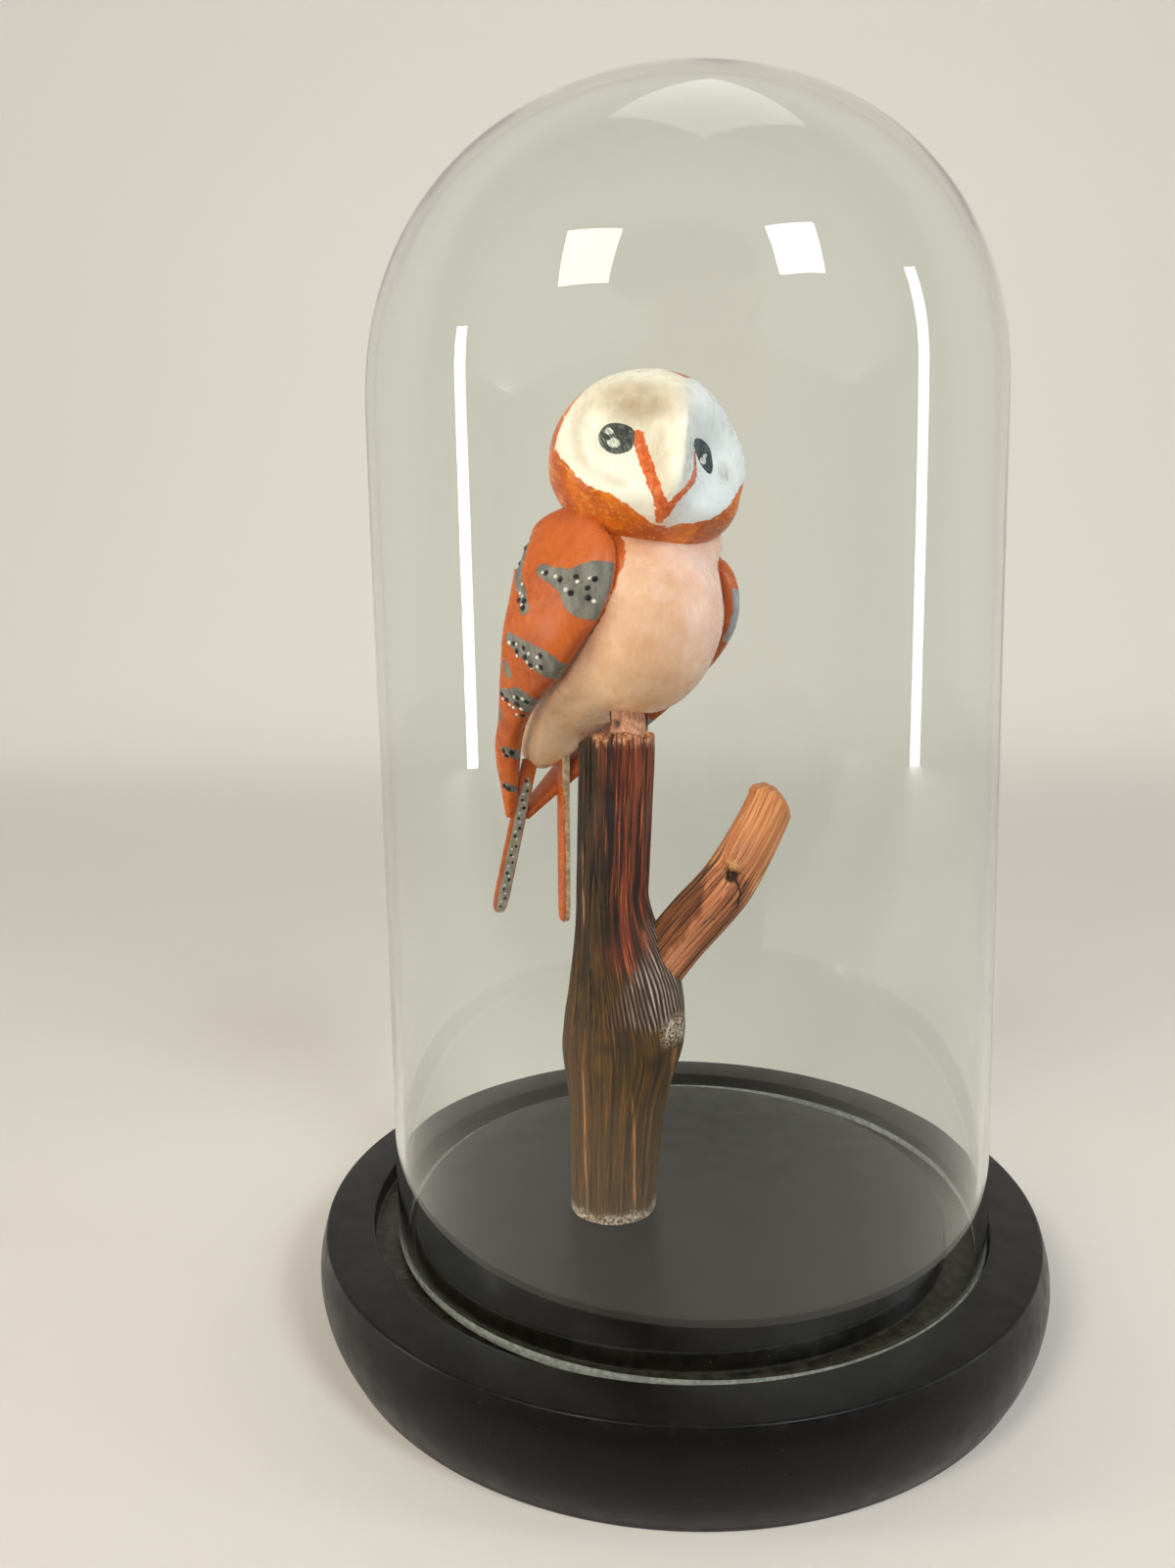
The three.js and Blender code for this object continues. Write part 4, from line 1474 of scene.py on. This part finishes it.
@dataclass
class PaintedEye:
    """A thin raised oval of dark paint with painted highlights, lying on the face."""

    side: Side
    outline: Rows
    glints: Rows
    paint: EyePaint
    thick: float = 0.2

    def build(self, head: bpy.types.Object, place: Place) -> None:
        """Lays the oval on the head.

        Args:
            head: The finished head.
            place: The head's own place.
        """
        outline = curve(self.outline, 48, closed=True)
        middle = outline.mean(axis=0)
        off = outline - middle
        around = np.arctan2(off[:, 1], off[:, 0])
        order = np.argsort(around)
        reach = np.linalg.norm(off, axis=1)[order]
        tree = surface_of(head)
        forward = Vector(place.turn[:, 0])

        def shape(turn: np.ndarray, share: np.ndarray) -> np.ndarray:
            """Places the oval's points on the face, its back a little under the paint."""
            out = np.sin(math.pi * share) * np.interp(turn, around[order], reach, period=TAU)
            up = -np.cos(math.pi * share)
            flat = middle + np.column_stack([out * np.cos(turn), out * np.sin(turn)])
            local = np.column_stack([0 * out, flat])
            for row, start in zip(local, place.out(local + [45, 0, 0])):
                hit, *_ = tree.ray_cast(Vector(start), -forward)
                row[0] = place.into(hit)[0]
            local[:, 0] += np.where(up > 0, self.thick, 0.7) * up
            return place.out(local)

        word = self.side.name.lower()
        piece, _, _ = wrap(f"eye_{word}_paint", 72, 36, shape)
        local = place.into(points_of(piece))
        glint = np.full(len(local), -5.0)
        for left, up, half_wide, half_high in self.glints:
            away = np.hypot((local[:, 1] - left) / half_wide, (local[:, 2] - up) / half_high)
            glint = np.maximum(glint, (1 - away) * min(half_wide, half_high))
        mark(piece, glint=glint)
        mount(piece, Body.DISPLAY, "eye_paint", self.paint.material(), f"owl_eye_{word}")


@dataclass
class OwlBody:
    """One body from inside the head down to a blunt stub above the tail."""

    place: Place
    front: tuple[float, ...] = (0.5, 2.6, 6.4, 11.2, 14.8, 13.6, 8.2, 0, -9.5, -18.6, -27, -33.1)
    front_height: tuple[float, ...] = (55, 50.3, 45.3, 39.2, 30.8, 20, 12, 6.4, 2.3, -2.1, -7, -10.9)
    back: tuple[float, ...] = (-16.5, -18.5, -19.5, -20, -20.5, -21.5, -23, -25, -27.8, -31.2, -35, -39.9)
    back_height: tuple[float, ...] = (52, 45.5, 39, 33.5, 29, 25, 21.5, 17.8, 13.3, 8.3, 3, -1.5)
    half_width: tuple[float, ...] = (14.5, 17.2, 17.5, 17.2, 17.5, 16.4, 14.9, 13.4, 11, 8.6, 6.6, 5.4)
    side: tuple[float, ...] = (2.8, 3.0, 0.9, 0.6, 0, 0, 0, 0, 0, 0, 0, 0)
    underside: tuple[Pair, ...] = (
        (-36, 3.2), (-35.2, 2.7), (-34.2, 1.4), (-33.3, 0), (-31.5, -1.2), (-28, -1.9), (-25.5, -1.2),
        (-24, 0), (-22.5, 1.6), (-20, 2.5), (-14, 2.4), (-6, 2.8), (-2, 2.3), (1, 1.2), (3, 0.4), (6, 0),
    )
    turn: tuple[float, ...] = (23, 21, 13, 5, 0, 0, 0, 0, 0, 0, 0, 0)

    def station(self, t: float) -> Station:
        """The body's cross-section at t, from inside the head down to the stub."""
        side = read(self.side, t)
        front = np.array([read(self.front, t), side, read(self.front_height, t)])
        back = np.array([read(self.back, t), side, read(self.back_height, t)])
        spin = np.array(Matrix.Rotation(math.radians(-read(self.turn, t)), 3, "Z"))
        return Station(
            self.place.out((front + back) / 2),
            self.place.turn @ spin @ BACK,
            self.place.turn @ spin @ unit(back - front),
            read(self.half_width, t),
            float(np.linalg.norm(front - back)) / 2,
        )

    def build(self, wings: Sequence[bpy.types.Object]) -> None:
        """Shapes, paints and mounts the body.

        Args:
            wings: The finished wings, along which the orange runs on to the body.
        """
        loft = Loft(self.station, 2.25, 0.8, 2.3, 128, 170, 0.06)
        piece, turn, t = loft.build("owl_torso")
        points, normals = points_of(piece), points_of(piece, "normal")
        points = points + normals * (Grain(41).at(points, 6) * 0.16)[:, None]
        local = self.place.into(points)
        lift = np.interp(local[:, 0], *zip(*self.underside)) * (local[:, 2] < 25)
        local[:, 2] += lift * ease(-np.sin(turn), 0, 0.7)
        points = self.place.out(local)
        move_points(piece, points)
        near = np.full(len(points), 50.0)
        for wing in wings:
            tree = surface_of(wing)
            near = np.minimum(near, [tree.find_nearest(Vector(p))[3] for p in points])
        high = ease(local[:, 2], 33, 42)
        behind = np.sin(turn) * 10 - 4.5
        mark(
            piece,
            orange=np.maximum(0.3 + 1.7 * high - near, np.minimum(behind, (0.66 - t) * 60)),
            # lighter pink side: partly pink paint, partly a painted highlight from the cool lamp
            rosy=ease(local[:, 1] + 0.25 * (local[:, 2] - 25), -10, 9),
            # painted light: the lower front of the body, painted lighter as if lit from below
            under=ease(0.2 * local[:, 0] - local[:, 2], -24, -4) * ease(-np.sin(turn), -0.5, 0.2),
        )
        mount(piece, Body.DISPLAY, "peach_paint", PeachPaint().material(), "owl_body")


@dataclass(frozen=True)
class GreyPatch:
    """One brushed grey patch of a wing, and the black and white dots on it.

    Places are forward and up in the owl's own directions, with the half width of the brush.
    """

    brush: Rows
    black: Rows = ()
    white: Rows = ()


@dataclass
class OwlWing:
    """A long pillow-shaped wing, from the shoulder to the tip beside the tail."""

    side: Side
    place: Place
    forward: tuple[float, ...]
    out: tuple[float, ...]
    half_chord: tuple[float, ...]
    height: tuple[float, ...] = (46.5, 42, 34, 21, 11, 1, -8, -23.5)
    half_thick: tuple[float, ...] = (3.3, 3.9, 4.2, 3.8, 3.2, 2.6, 2.2, 1.4)
    flare: float = 8.0
    patches: tuple[GreyPatch, ...] = (
        GreyPatch(
            ((-10, 35.5, 1.5), (-6, 34.5, 1.9), (-1, 33.5, 3.2), (3, 32.5, 5.9), (4.5, 34, 5)),
            ((-8.5, 35), (-4, 34), (0, 35), (-0.5, 31.5), (3, 33), (3.5, 31), (4, 35)),
            ((-9.5, 35), (-5.5, 34.5), (0.5, 34), (-2, 32), (3, 35), (4.5, 30.5)),
        ),
        GreyPatch(
            ((-19, 42.5, 0.5), (-18.5, 37.5, 1.1), (-17.5, 33, 1.5), (-14.5, 30, 1.1), (-13, 27, 1.6)),
            ((-19.5, 40), (-19.5, 36.5), (-15.5, 28.5), (-13.5, 28.5), (-13.5, 27)),
            ((-19, 41.5), (-15.5, 32), (-15.5, 30), (-14.5, 29.5), (-14, 27.5)),
        ),
        GreyPatch(
            ((-17, 20, 1.4), (-13, 18.5, 1.9), (-9.5, 17, 2.7), (-6.5, 16, 3), (-5, 16, 2.3)),
            ((-15.5, 19), (-14.5, 17.5), (-12, 18.5), (-12, 16.5), (-7, 17.5), (-10.5, 15), (-7.5, 15)),
            (
                (-17, 19), (-14.5, 19), (-10.5, 17.5), (-14.5, 16.5), (-8, 17), (-11.5, 15.5),
                (-10.5, 14.5), (-8.5, 15),
            ),
        ),
        GreyPatch(((-19.5, 14, 1.1), (-19, 12.5, 1.4))),
        GreyPatch(
            ((-23, 7.5, 1.1), (-19.5, 7, 1.8), (-17, 6.5, 3), (-16, 6, 2.7)),
            ((-23.5, 7), (-22, 6), (-18, 7), (-16, 6.5), (-19, 5.5), (-17.5, 4.5), (-19.5, 3)),
            ((-23.5, 6), (-21.5, 5), (-19, 7), (-20.5, 4.5), (-16.5, 7), (-18.5, 4.5), (-20.5, 3)),
        ),
        GreyPatch(((-26.5, 3, 0.7), (-27, 1, 0.8))),
        GreyPatch(
            ((-29.5, -6.5, 0.7), (-27.5, -7, 1.2), (-26.5, -8, 1.4)),
            ((-29.5, -7), (-29, -8), (-27.5, -7), (-27, -9)),
        ),
        GreyPatch(
            ((-31.5, -15.5, 0.7), (-31.5, -16, 1), (-30.5, -16.5, 0.8)), ((-32.5, -16), (-31.5, -16.5))
        ),
    )

    def line(self, t: float) -> np.ndarray:
        """The wing's middle at t, in the owl's own coordinates."""
        x, y, z = (read(v, t) for v in (self.forward, self.out, self.height))
        return np.array([x, self.side.value * y, z])

    def station(self, t: float) -> Station:
        """The wing's cross-section at t, from the shoulder to the tip."""
        aim = unit(self.line(t + 0.02) - self.line(t - 0.02))
        flare = math.radians(self.flare)
        chord = np.array([-math.cos(flare), self.side.value * math.sin(flare), 0])
        chord = unit(chord - (chord @ aim) * aim)
        outward = unit(np.cross(chord, aim))
        outward *= np.sign(outward[1]) * self.side.value
        return Station(
            self.place.out(self.line(t)),
            self.place.turn @ chord,
            self.place.turn @ outward,
            read(self.half_chord, t),
            read(self.half_thick, t),
        )

    def build(self) -> bpy.types.Object:
        """Shapes, paints and mounts the wing."""
        word = self.side.name.lower()
        loft = Loft(self.station, 2.5, 3.6, 0.6, 112, 190, 0.04)
        piece, turn, t = loft.build(f"owl_wing_{word}_carved")
        points, normals = points_of(piece), points_of(piece, "normal")
        points = points + normals * (Grain(51).at(points, 5) * 0.12)[:, None]
        move_points(piece, points)
        flat = self.place.into(points)[:, [0, 2]]
        grey = np.max([inside_stroke(flat, curve(p.brush, 12)) for p in self.patches], axis=0)
        outer = np.sin(turn) * along(self.half_thick, t) + 0.4
        back = np.abs(np.angle(np.exp(1j * turn)))
        rim = 0.32 - back * along(self.half_thick, t)
        mark(
            piece,
            grey=np.minimum(grey, outer),
            # painted highlight: a pale line along the wing's back edge
            bare=np.where((t > 0.1) & (t < 0.5), rim, -3.0),
            rosy=ease(-np.cos(turn), -0.1, 0.7) * hill((t - 0.2) / 0.25) * (np.sin(turn) > -0.3),
            # painted shade: the wing's lower inner side, which lies in shadow
            dark=ease(-np.sin(turn), 0.2, 0.9) * ease(t, 0.55, 0.75),
        )
        # painted light: the left wing's grey is paler and bluer, for the cool lamp on that side
        greys = ("625e57", "827c72") if self.side is Side.RIGHT else ("87878a", "a4a4a6")
        paint = WingPaint(f"wing_{word}", *greys).material()
        mount(piece, Body.DISPLAY, "wing_paint", paint, f"owl_wing_{word}")
        tree = surface_of(piece)
        ray = Vector(self.place.turn @ np.array([0, -self.side.value, 0]))
        for colour, radius in (("black", 0.7), ("white", 0.46)):
            spots = [spot for patch in self.patches for spot in getattr(patch, colour)]
            starts = [Vector(self.place.out([f, self.side.value * 60, h])) for f, h in spots]
            DotRow(f"wing_{word}_dots_{colour}", radius, colour).build(tree, starts, ray)
        return piece


@dataclass
class DotRow:
    """Many small domed drops of paint, each a copy of one."""

    name: str
    radius: float
    colour: str
    flatness: float = 0.42

    def build(self, tree: BVHTree, starts: Sequence[Vector], ray: Vector) -> None:
        """Sets the dots where rays meet a surface.

        Args:
            tree: The surface.
            starts: Where each ray starts, in millimetres.
            ray: The rays' direction.
        """
        clear_bench()
        bpy.ops.mesh.primitive_ico_sphere_add(subdivisions=2, radius=self.radius * MM)
        first = named(self.name)
        seat = np.random.default_rng(61)
        made = []
        for start in starts:
            size, wide = seat.uniform(0.84, 1.14), seat.uniform(0.88, 1.14)
            hit, normal, *_ = tree.ray_cast(start, ray)
            if hit is None:
                continue
            copy = first.copy()
            copy.data = first.data.copy()
            bpy.context.scene.collection.objects.link(copy)
            turn = normal.to_track_quat("Z", "Y").to_matrix().to_4x4()
            shape = Matrix.Diagonal((size * wide, size / wide, self.flatness, 1))
            copy.data.transform(Matrix.Translation(hit * MM) @ turn @ shape)
            made.append(copy)
        bpy.data.objects.remove(first)
        pick(made[0])
        for copy in made:
            copy.select_set(True)
        bpy.ops.object.join()
        piece = named(self.name)
        smooth(piece)
        codes = ("0b0c0e", "17181a") if self.colour == "black" else ("cfcbc0", "f0ece2")
        mount(piece, Body.DISPLAY, "wing_paint", PaintDrop(self.name, *codes).material())


@dataclass
class TailSlat:
    """A thin painted strip of wood hanging below the body."""

    side: Side
    place: Place
    top: tuple[float, float, float]
    tip: tuple[float, float, float]
    turn: float
    dots: int = 0
    width: float = 4.0
    thick: float = 1.6

    def directions(self) -> tuple[np.ndarray, np.ndarray]:
        """The strip's run and its direction across, in the owl's own coordinates."""
        aim = unit(np.subtract(self.tip, self.top))
        a = math.radians(self.turn)
        across = np.array([math.sin(a), math.cos(a), 0])
        return aim, unit(across - (across @ aim) * aim)

    def station(self, t: float) -> Station:
        """The strip's cross-section at t, from the top down."""
        aim, across = self.directions()
        share = float(np.interp(t, [0, 0.9, 0.97, 1], [1, 1, 0.86, 0.6]))
        return Station(
            self.place.out(np.array(self.top) + t * np.subtract(self.tip, self.top)),
            self.place.turn @ across,
            self.place.turn @ np.cross(aim, across),
            self.width / 2 * share,
            self.thick / 2,
        )

    def build(self) -> None:
        """Shapes, paints and mounts the slat."""
        word = self.side.name.lower()
        loft = Loft(self.station, 5, 0.0, 0.3, 56, 150, 0.01)
        piece, turn, t = loft.build(f"owl_tail_{word}_slat")
        across = power(np.cos(turn), 2 / 5) * self.width / 2
        down = t * np.linalg.norm(np.subtract(self.tip, self.top))
        half = np.interp(down, [2.5, 6.5, 12, 43], [-0.4, 1.1, 1.5, 1.55])
        none = np.full(len(t), -3.0)
        mark(
            piece,
            grey=half - np.abs(across - 0.1) if self.dots else none,
            bare=none if self.dots else self.bare_side(turn, down),
            rosy=0.0,
            # painted shade along one edge of the dotted slat
            dark=0.5 * ease(-np.cos(turn), 0.6, 0.9) if self.dots else 0.0,
        )
        paint = WingPaint(f"tail_{word}", "8a8274", "aaa18e").material()
        mount(piece, Body.DISPLAY, "wing_paint", paint, f"owl_tail_{word}")
        if self.dots:
            self.dot(surface_of(piece))

    def bare_side(self, turn: np.ndarray, down: np.ndarray) -> np.ndarray:
        """How far inside the unpainted side each point lies, wider near the top."""
        side = -power(np.sin(turn), 2 / 5) * self.thick / 2
        reach = np.interp(down, [10, 14], [self.thick, self.thick * 0.75])
        return np.where(np.cos(turn) > 0.4, side + reach - self.thick / 2, -1.0)

    def dot(self, tree: BVHTree) -> None:
        """Sets two rows of black and white dots on the strip's outer face."""
        aim, across = self.directions()
        outward = np.cross(aim, across)
        outward *= np.sign(outward @ self.place.turn.T)[1] * -1
        seat = np.random.default_rng(62)
        for colour, radius, first in (("black", 0.45, 5.2), ("white", 0.3, 6.2)):
            starts = []
            for i in range(self.dots):
                down = first + 2.45 * i + seat.uniform(-0.4, 0.4)
                off = (0.55 if i % 2 else -0.35) * (1 if colour == "black" else -0.8)
                spot = np.array(self.top) + down * aim + (off + 0.1) * across + 8 * outward
                starts.append(Vector(self.place.out(spot)))
            ray = Vector(self.place.turn @ -outward)
            DotRow(f"tail_dots_{colour}", radius, colour).build(tree, starts, ray)


@dataclass
class FeetBlock:
    """The raw block that joins the body to the twig."""

    low: np.ndarray = from_box("owl_feet_block", 0)
    high: np.ndarray = from_box("owl_feet_block", 1)
    tuck: float = 2.5  # how far it reaches up into the body
    pared: float = 0.7
    lean: float = 3.2  # how far its front leans back
    hole_at: Pair = (-2.9, 1.2)
    hole_half: Pair = (1.5, 1.4)
    hole_depth: float = 1.4

    def station(self, t: float) -> Station:
        """The block's cross-section at t, from the twig up."""
        middle = (self.low + self.high) / 2
        middle[2] = self.low[2] + t * (self.high[2] + self.tuck - self.low[2])
        half = (self.high - self.low) / 2
        wide = half[0] - self.pared
        return Station(middle, ACROSS, BACK, wide, half[1])

    def build(self) -> None:
        """Cuts, roughens and mounts the block."""
        piece, _, t = Loft(self.station, 2.6, 0.0, 0.0, 90, 60, 0.08).build("feet_raw_block")
        points, normals = points_of(piece), points_of(piece, "normal")
        x, y, z = (points - (self.low + self.high) / 2).T
        grain = Grain(71).at(points, 1.6, 3.3) * 0.35 * hill(t * 2 - 1)
        (side, up), (wide, tall) = self.hole_at, self.hole_half
        # a shallow dent, painted near black as painted shade
        hole = hill((x - side) / wide) * hill((z - up) / tall) * (y < 0)
        points = points + normals * (grain - hole * self.hole_depth)[:, None]
        points[:, 2] = np.maximum(points[:, 2], self.low[2])
        points[:, 1] += self.lean * ease(z, -4, 4) * (y < 0)
        move_points(piece, points)
        mark(piece, hole=hole)
        mount(piece, Body.DISPLAY, "raw_block", RawWood().material(), "owl_feet_block")


@dataclass
class Owl:
    """The whole carving, measured forward, left and up from the middle of the stem's top."""

    heading: float = -47.0
    head_heading: float = -70.0
    lean: float = 10.0
    stand: tuple[float, float, float] = (-9.7, -8.9, 131.2)
    head_at: tuple[float, float, float] = (-7.6, -1.5, 62.1)

    def build(self) -> None:
        """Builds head, eyes, wings, body, tail and block."""
        place = Place.leaning(np.array(self.stand), self.heading, self.lean)
        head_place = Place.leaning(place.out(self.head_at), self.head_heading, self.lean)
        head = OwlHead(head_place, self.lean).build()
        right_eye = (
            (-14.9, 2.0), (-13.8, 4.5), (-11.5, 5.3), (-8.8, 4.8), (-7.8, 3.2), (-8.2, 0.4),
            (-11.3, -1.1), (-13.9, -0.2),
        )
        left_eye = (
            (4.0, 3.2), (4.1, 4.6), (6.4, 5.1), (9.2, 4.0), (10.6, 0.8), (10.0, -1.2), (8.2, -0.4),
            (6.0, 1.9),
        )
        # painted highlights on each eye: left, up, half width and half height
        right_glints = ((-13, 3.4, 0.85, 0.65), (-11.8, 1.2, 1.3, 1.0))
        left_glints = ((8.3, 2.3, 0.5, 0.5), (7.9, 1.2, 0.8, 0.8))
        brown = EyePaint("eye_brown", "292b27", "3b3d37", "84867a")
        # the left eye's paint is darker and bluer; its bluer tone is painted cool light from the lamp on
        # that side
        cool_lit_eye = EyePaint("eye_cool_lit", "1b2228", "2b333b", "6a7680")
        PaintedEye(Side.RIGHT, right_eye, right_glints, brown).build(head, head_place)
        PaintedEye(Side.LEFT, left_eye, left_glints, cool_lit_eye).build(head, head_place)
        right = OwlWing(
            Side.RIGHT,
            place,
            (-13.0, -10.9, -8.5, -12.1, -18.9, -26.3, -31.3, -34.1),
            (16.8, 17.9, 19.5, 20.7, 18.3, 14.2, 10.5, 4.9),
            (9.2, 11.2, 14.2, 10.4, 6.3, 3.5, 3.5, 1.1),
        )
        left = OwlWing(
            Side.LEFT,
            place,
            (-11.2, -9.9, -7.6, -11.4, -16.6, -23.4, -29.5, -35.4),
            (17.8, 19.7, 21.5, 22, 20, 15.6, 9.4, 0),
            (8.4, 11.2, 14.2, 9.2, 6.2, 5.7, 5.3, 2.6),
        )
        OwlBody(place).build([right.build(), left.build()])
        TailSlat(Side.RIGHT, place, (-31.4, -3.6, -9), (-37, -2.2, -49.3), 10, dots=15).build()
        TailSlat(Side.LEFT, place, (-27.0, 2.4, -4), (-27.4, 12.0, -49.3), 100, thick=2.1).build()
        FeetBlock().build()


# ---- studio ----------------------------------------------------------------------------------------


@dataclass(frozen=True)
class Lamp:
    """One soft lamp, aimed at the owl, in metres and watts."""

    name: str
    at: tuple[float, float, float]
    watts: float
    size: tuple[float, float]
    colour: tuple[float, float, float]
    mirrored: bool = True  # whether the glass reflects it
    target: tuple[float, float, float] = (0, 0, 0.15)

    def build(self) -> None:
        """Hangs the lamp."""
        clear_bench()
        bpy.ops.object.light_add(type="AREA", location=self.at)
        lamp = bpy.context.active_object
        lamp.name = self.name
        lamp.data.shape = "RECTANGLE"
        lamp.data.energy = self.watts
        lamp.data.size, lamp.data.size_y = self.size
        lamp.data.color = self.colour
        lamp.visible_transmission = False
        lamp.visible_glossy = self.mirrored
        aim = Vector(self.target) - Vector(self.at)
        lamp.rotation_euler = aim.to_track_quat("-Z", "Y").to_euler()


@dataclass
class Studio:
    """A pale sweep, soft lamps and the camera."""

    lamps: tuple[Lamp, ...] = (
        Lamp("lamp_warm", (-0.55, -0.85, 0.95), 5.5, (0.35, 0.35), (1.0, 0.92, 0.80)),
        Lamp("lamp_cool", (0.65, -0.75, 0.90), 5.2, (0.3, 0.3), (0.86, 0.93, 1.0)),
        Lamp("lamp_left", (-1.15, -0.28, 0.20), 5.0, (0.1, 0.9), (1.0, 0.94, 0.84)),
        Lamp("lamp_right", (1.15, -0.16, 0.35), 3.2, (0.1, 0.9), (0.88, 0.94, 1.0)),
        Lamp("lamp_top", (0.1, 0.1, 1.25), 1.0, (0.5, 0.5), (1, 1, 1)),
        Lamp("lamp_low", (-0.35, -0.9, 0.10), 4.4, (0.5, 0.15), (1.0, 0.96, 0.9), mirrored=False),
    )
    floor: tuple[float, float] = (8, 4.2)
    wall: float = 3.2
    bend: float = 1.0
    world_front: float = 0.12
    world_round: float = 0.36
    glow: float = 0.6
    camera_at: tuple[float, float, float] = (0.0, -256.0, 154.7)
    camera_pitch: float = 7.302
    camera_yaw: float = -4.437
    camera_roll: float = -1.05
    lens: float = 25.245

    def build(self) -> None:
        """Sets up floor, world, lamps and camera."""
        self.sweep()
        self.surround()
        for lamp in self.lamps:
            lamp.build()
        self.camera()

    def surround(self) -> None:
        """White light from all round, dimmer from in front so that the glass stays clear."""
        world = bpy.data.worlds.new("studio")
        world.use_nodes = True
        nodes, links = world.node_tree.nodes, world.node_tree.links
        place = nodes.new("ShaderNodeTexCoord").outputs["Generated"]
        apart = nodes.new("ShaderNodeSeparateXYZ")
        links.new(place, apart.inputs[0])
        dim = nodes.new("ShaderNodeMapRange")
        for key, value in ((1, -0.5), (2, 0.3), (3, self.world_front), (4, self.world_round)):
            dim.inputs[key].default_value = value
        links.new(apart.outputs["Y"], dim.inputs[0])
        nodes["Background"].inputs["Color"].default_value = (1, 1, 1, 1)
        links.new(dim.outputs[0], nodes["Background"].inputs["Strength"])
        bpy.context.scene.world = world

    def sweep(self) -> None:
        """The pale floor that curves up behind, plain white paper with a little glow."""
        clear_bench()
        bpy.ops.mesh.primitive_plane_add(size=1)
        floor = named("studio_sweep")
        edit_all(floor, lambda: bpy.ops.transform.resize(value=(*self.floor, 1)))
        for point in floor.data.vertices:
            point.select = False
        for edge in floor.data.edges:
            edge.select = all(floor.data.vertices[i].co.y > 0 for i in edge.vertices)
        bpy.ops.object.mode_set(mode="EDIT")
        bpy.ops.mesh.select_mode(type="EDGE")
        bpy.ops.mesh.extrude_region_move(TRANSFORM_OT_translate={"value": (0, 0, self.wall)})
        bpy.ops.object.mode_set(mode="OBJECT")
        apply(floor, "BEVEL", width=self.bend, segments=24, limit_method="ANGLE")
        smooth(floor)
        w = Wiring("studio_paper")
        path = w.node("ShaderNodeLightPath").outputs
        seen = w.sum("MAXIMUM", path["Is Camera Ray"], path["Is Glossy Ray"])
        seen = w.sum("MAXIMUM", seen, path["Is Transmission Ray"])
        apart = w.node("ShaderNodeSeparateXYZ", {0: w.place}).outputs["Y"]
        paper = w.mix(w.step(apart, -0.3, -0.1), "2e2c2a", "efe9e0")
        glow = w.times(seen, w.step(apart, -0.1, 1.6, (0.16, self.glow)))
        shine = {"Emission_Color": tone("f1ebe0"), "Emission_Strength": glow}
        floor.data.materials.append(w.finish(paper, 0.85, None, Specular_IOR_Level=0.0, **shine))

    def camera(self) -> None:
        """Adds the camera at its fitted place."""
        pitch, yaw, roll = (
            math.radians(a) for a in (self.camera_pitch, self.camera_yaw, self.camera_roll)
        )
        forward = Vector(
            (math.sin(yaw) * math.cos(pitch), math.cos(yaw) * math.cos(pitch), -math.sin(pitch))
        )
        right = Vector((math.cos(yaw), -math.sin(yaw), 0))
        up = right.cross(forward)
        across = math.cos(roll) * right + math.sin(roll) * up
        above = -math.sin(roll) * right + math.cos(roll) * up
        clear_bench()
        bpy.ops.object.camera_add()
        camera = bpy.context.active_object
        camera.name = "camera"
        turn = Matrix((across, above, -forward)).transposed().to_4x4()
        camera.matrix_world = Matrix.Translation(Vector(self.camera_at) * MM) @ turn
        camera.data.lens = self.lens
        camera.data.sensor_width = 36
        camera.data.clip_start = 0.01
        bpy.context.scene.camera = camera
        bpy.context.scene.view_settings.view_transform = "Standard"


def main() -> None:
    """Builds every part in order."""
    logging.basicConfig(level=logging.INFO, format="%(message)s")
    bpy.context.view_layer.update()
    TurnedBase().build()
    Stem().build()
    Limb().build()
    Owl().build()
    GlassDome().build()
    Studio().build()


if __name__ == "__main__":
    main()
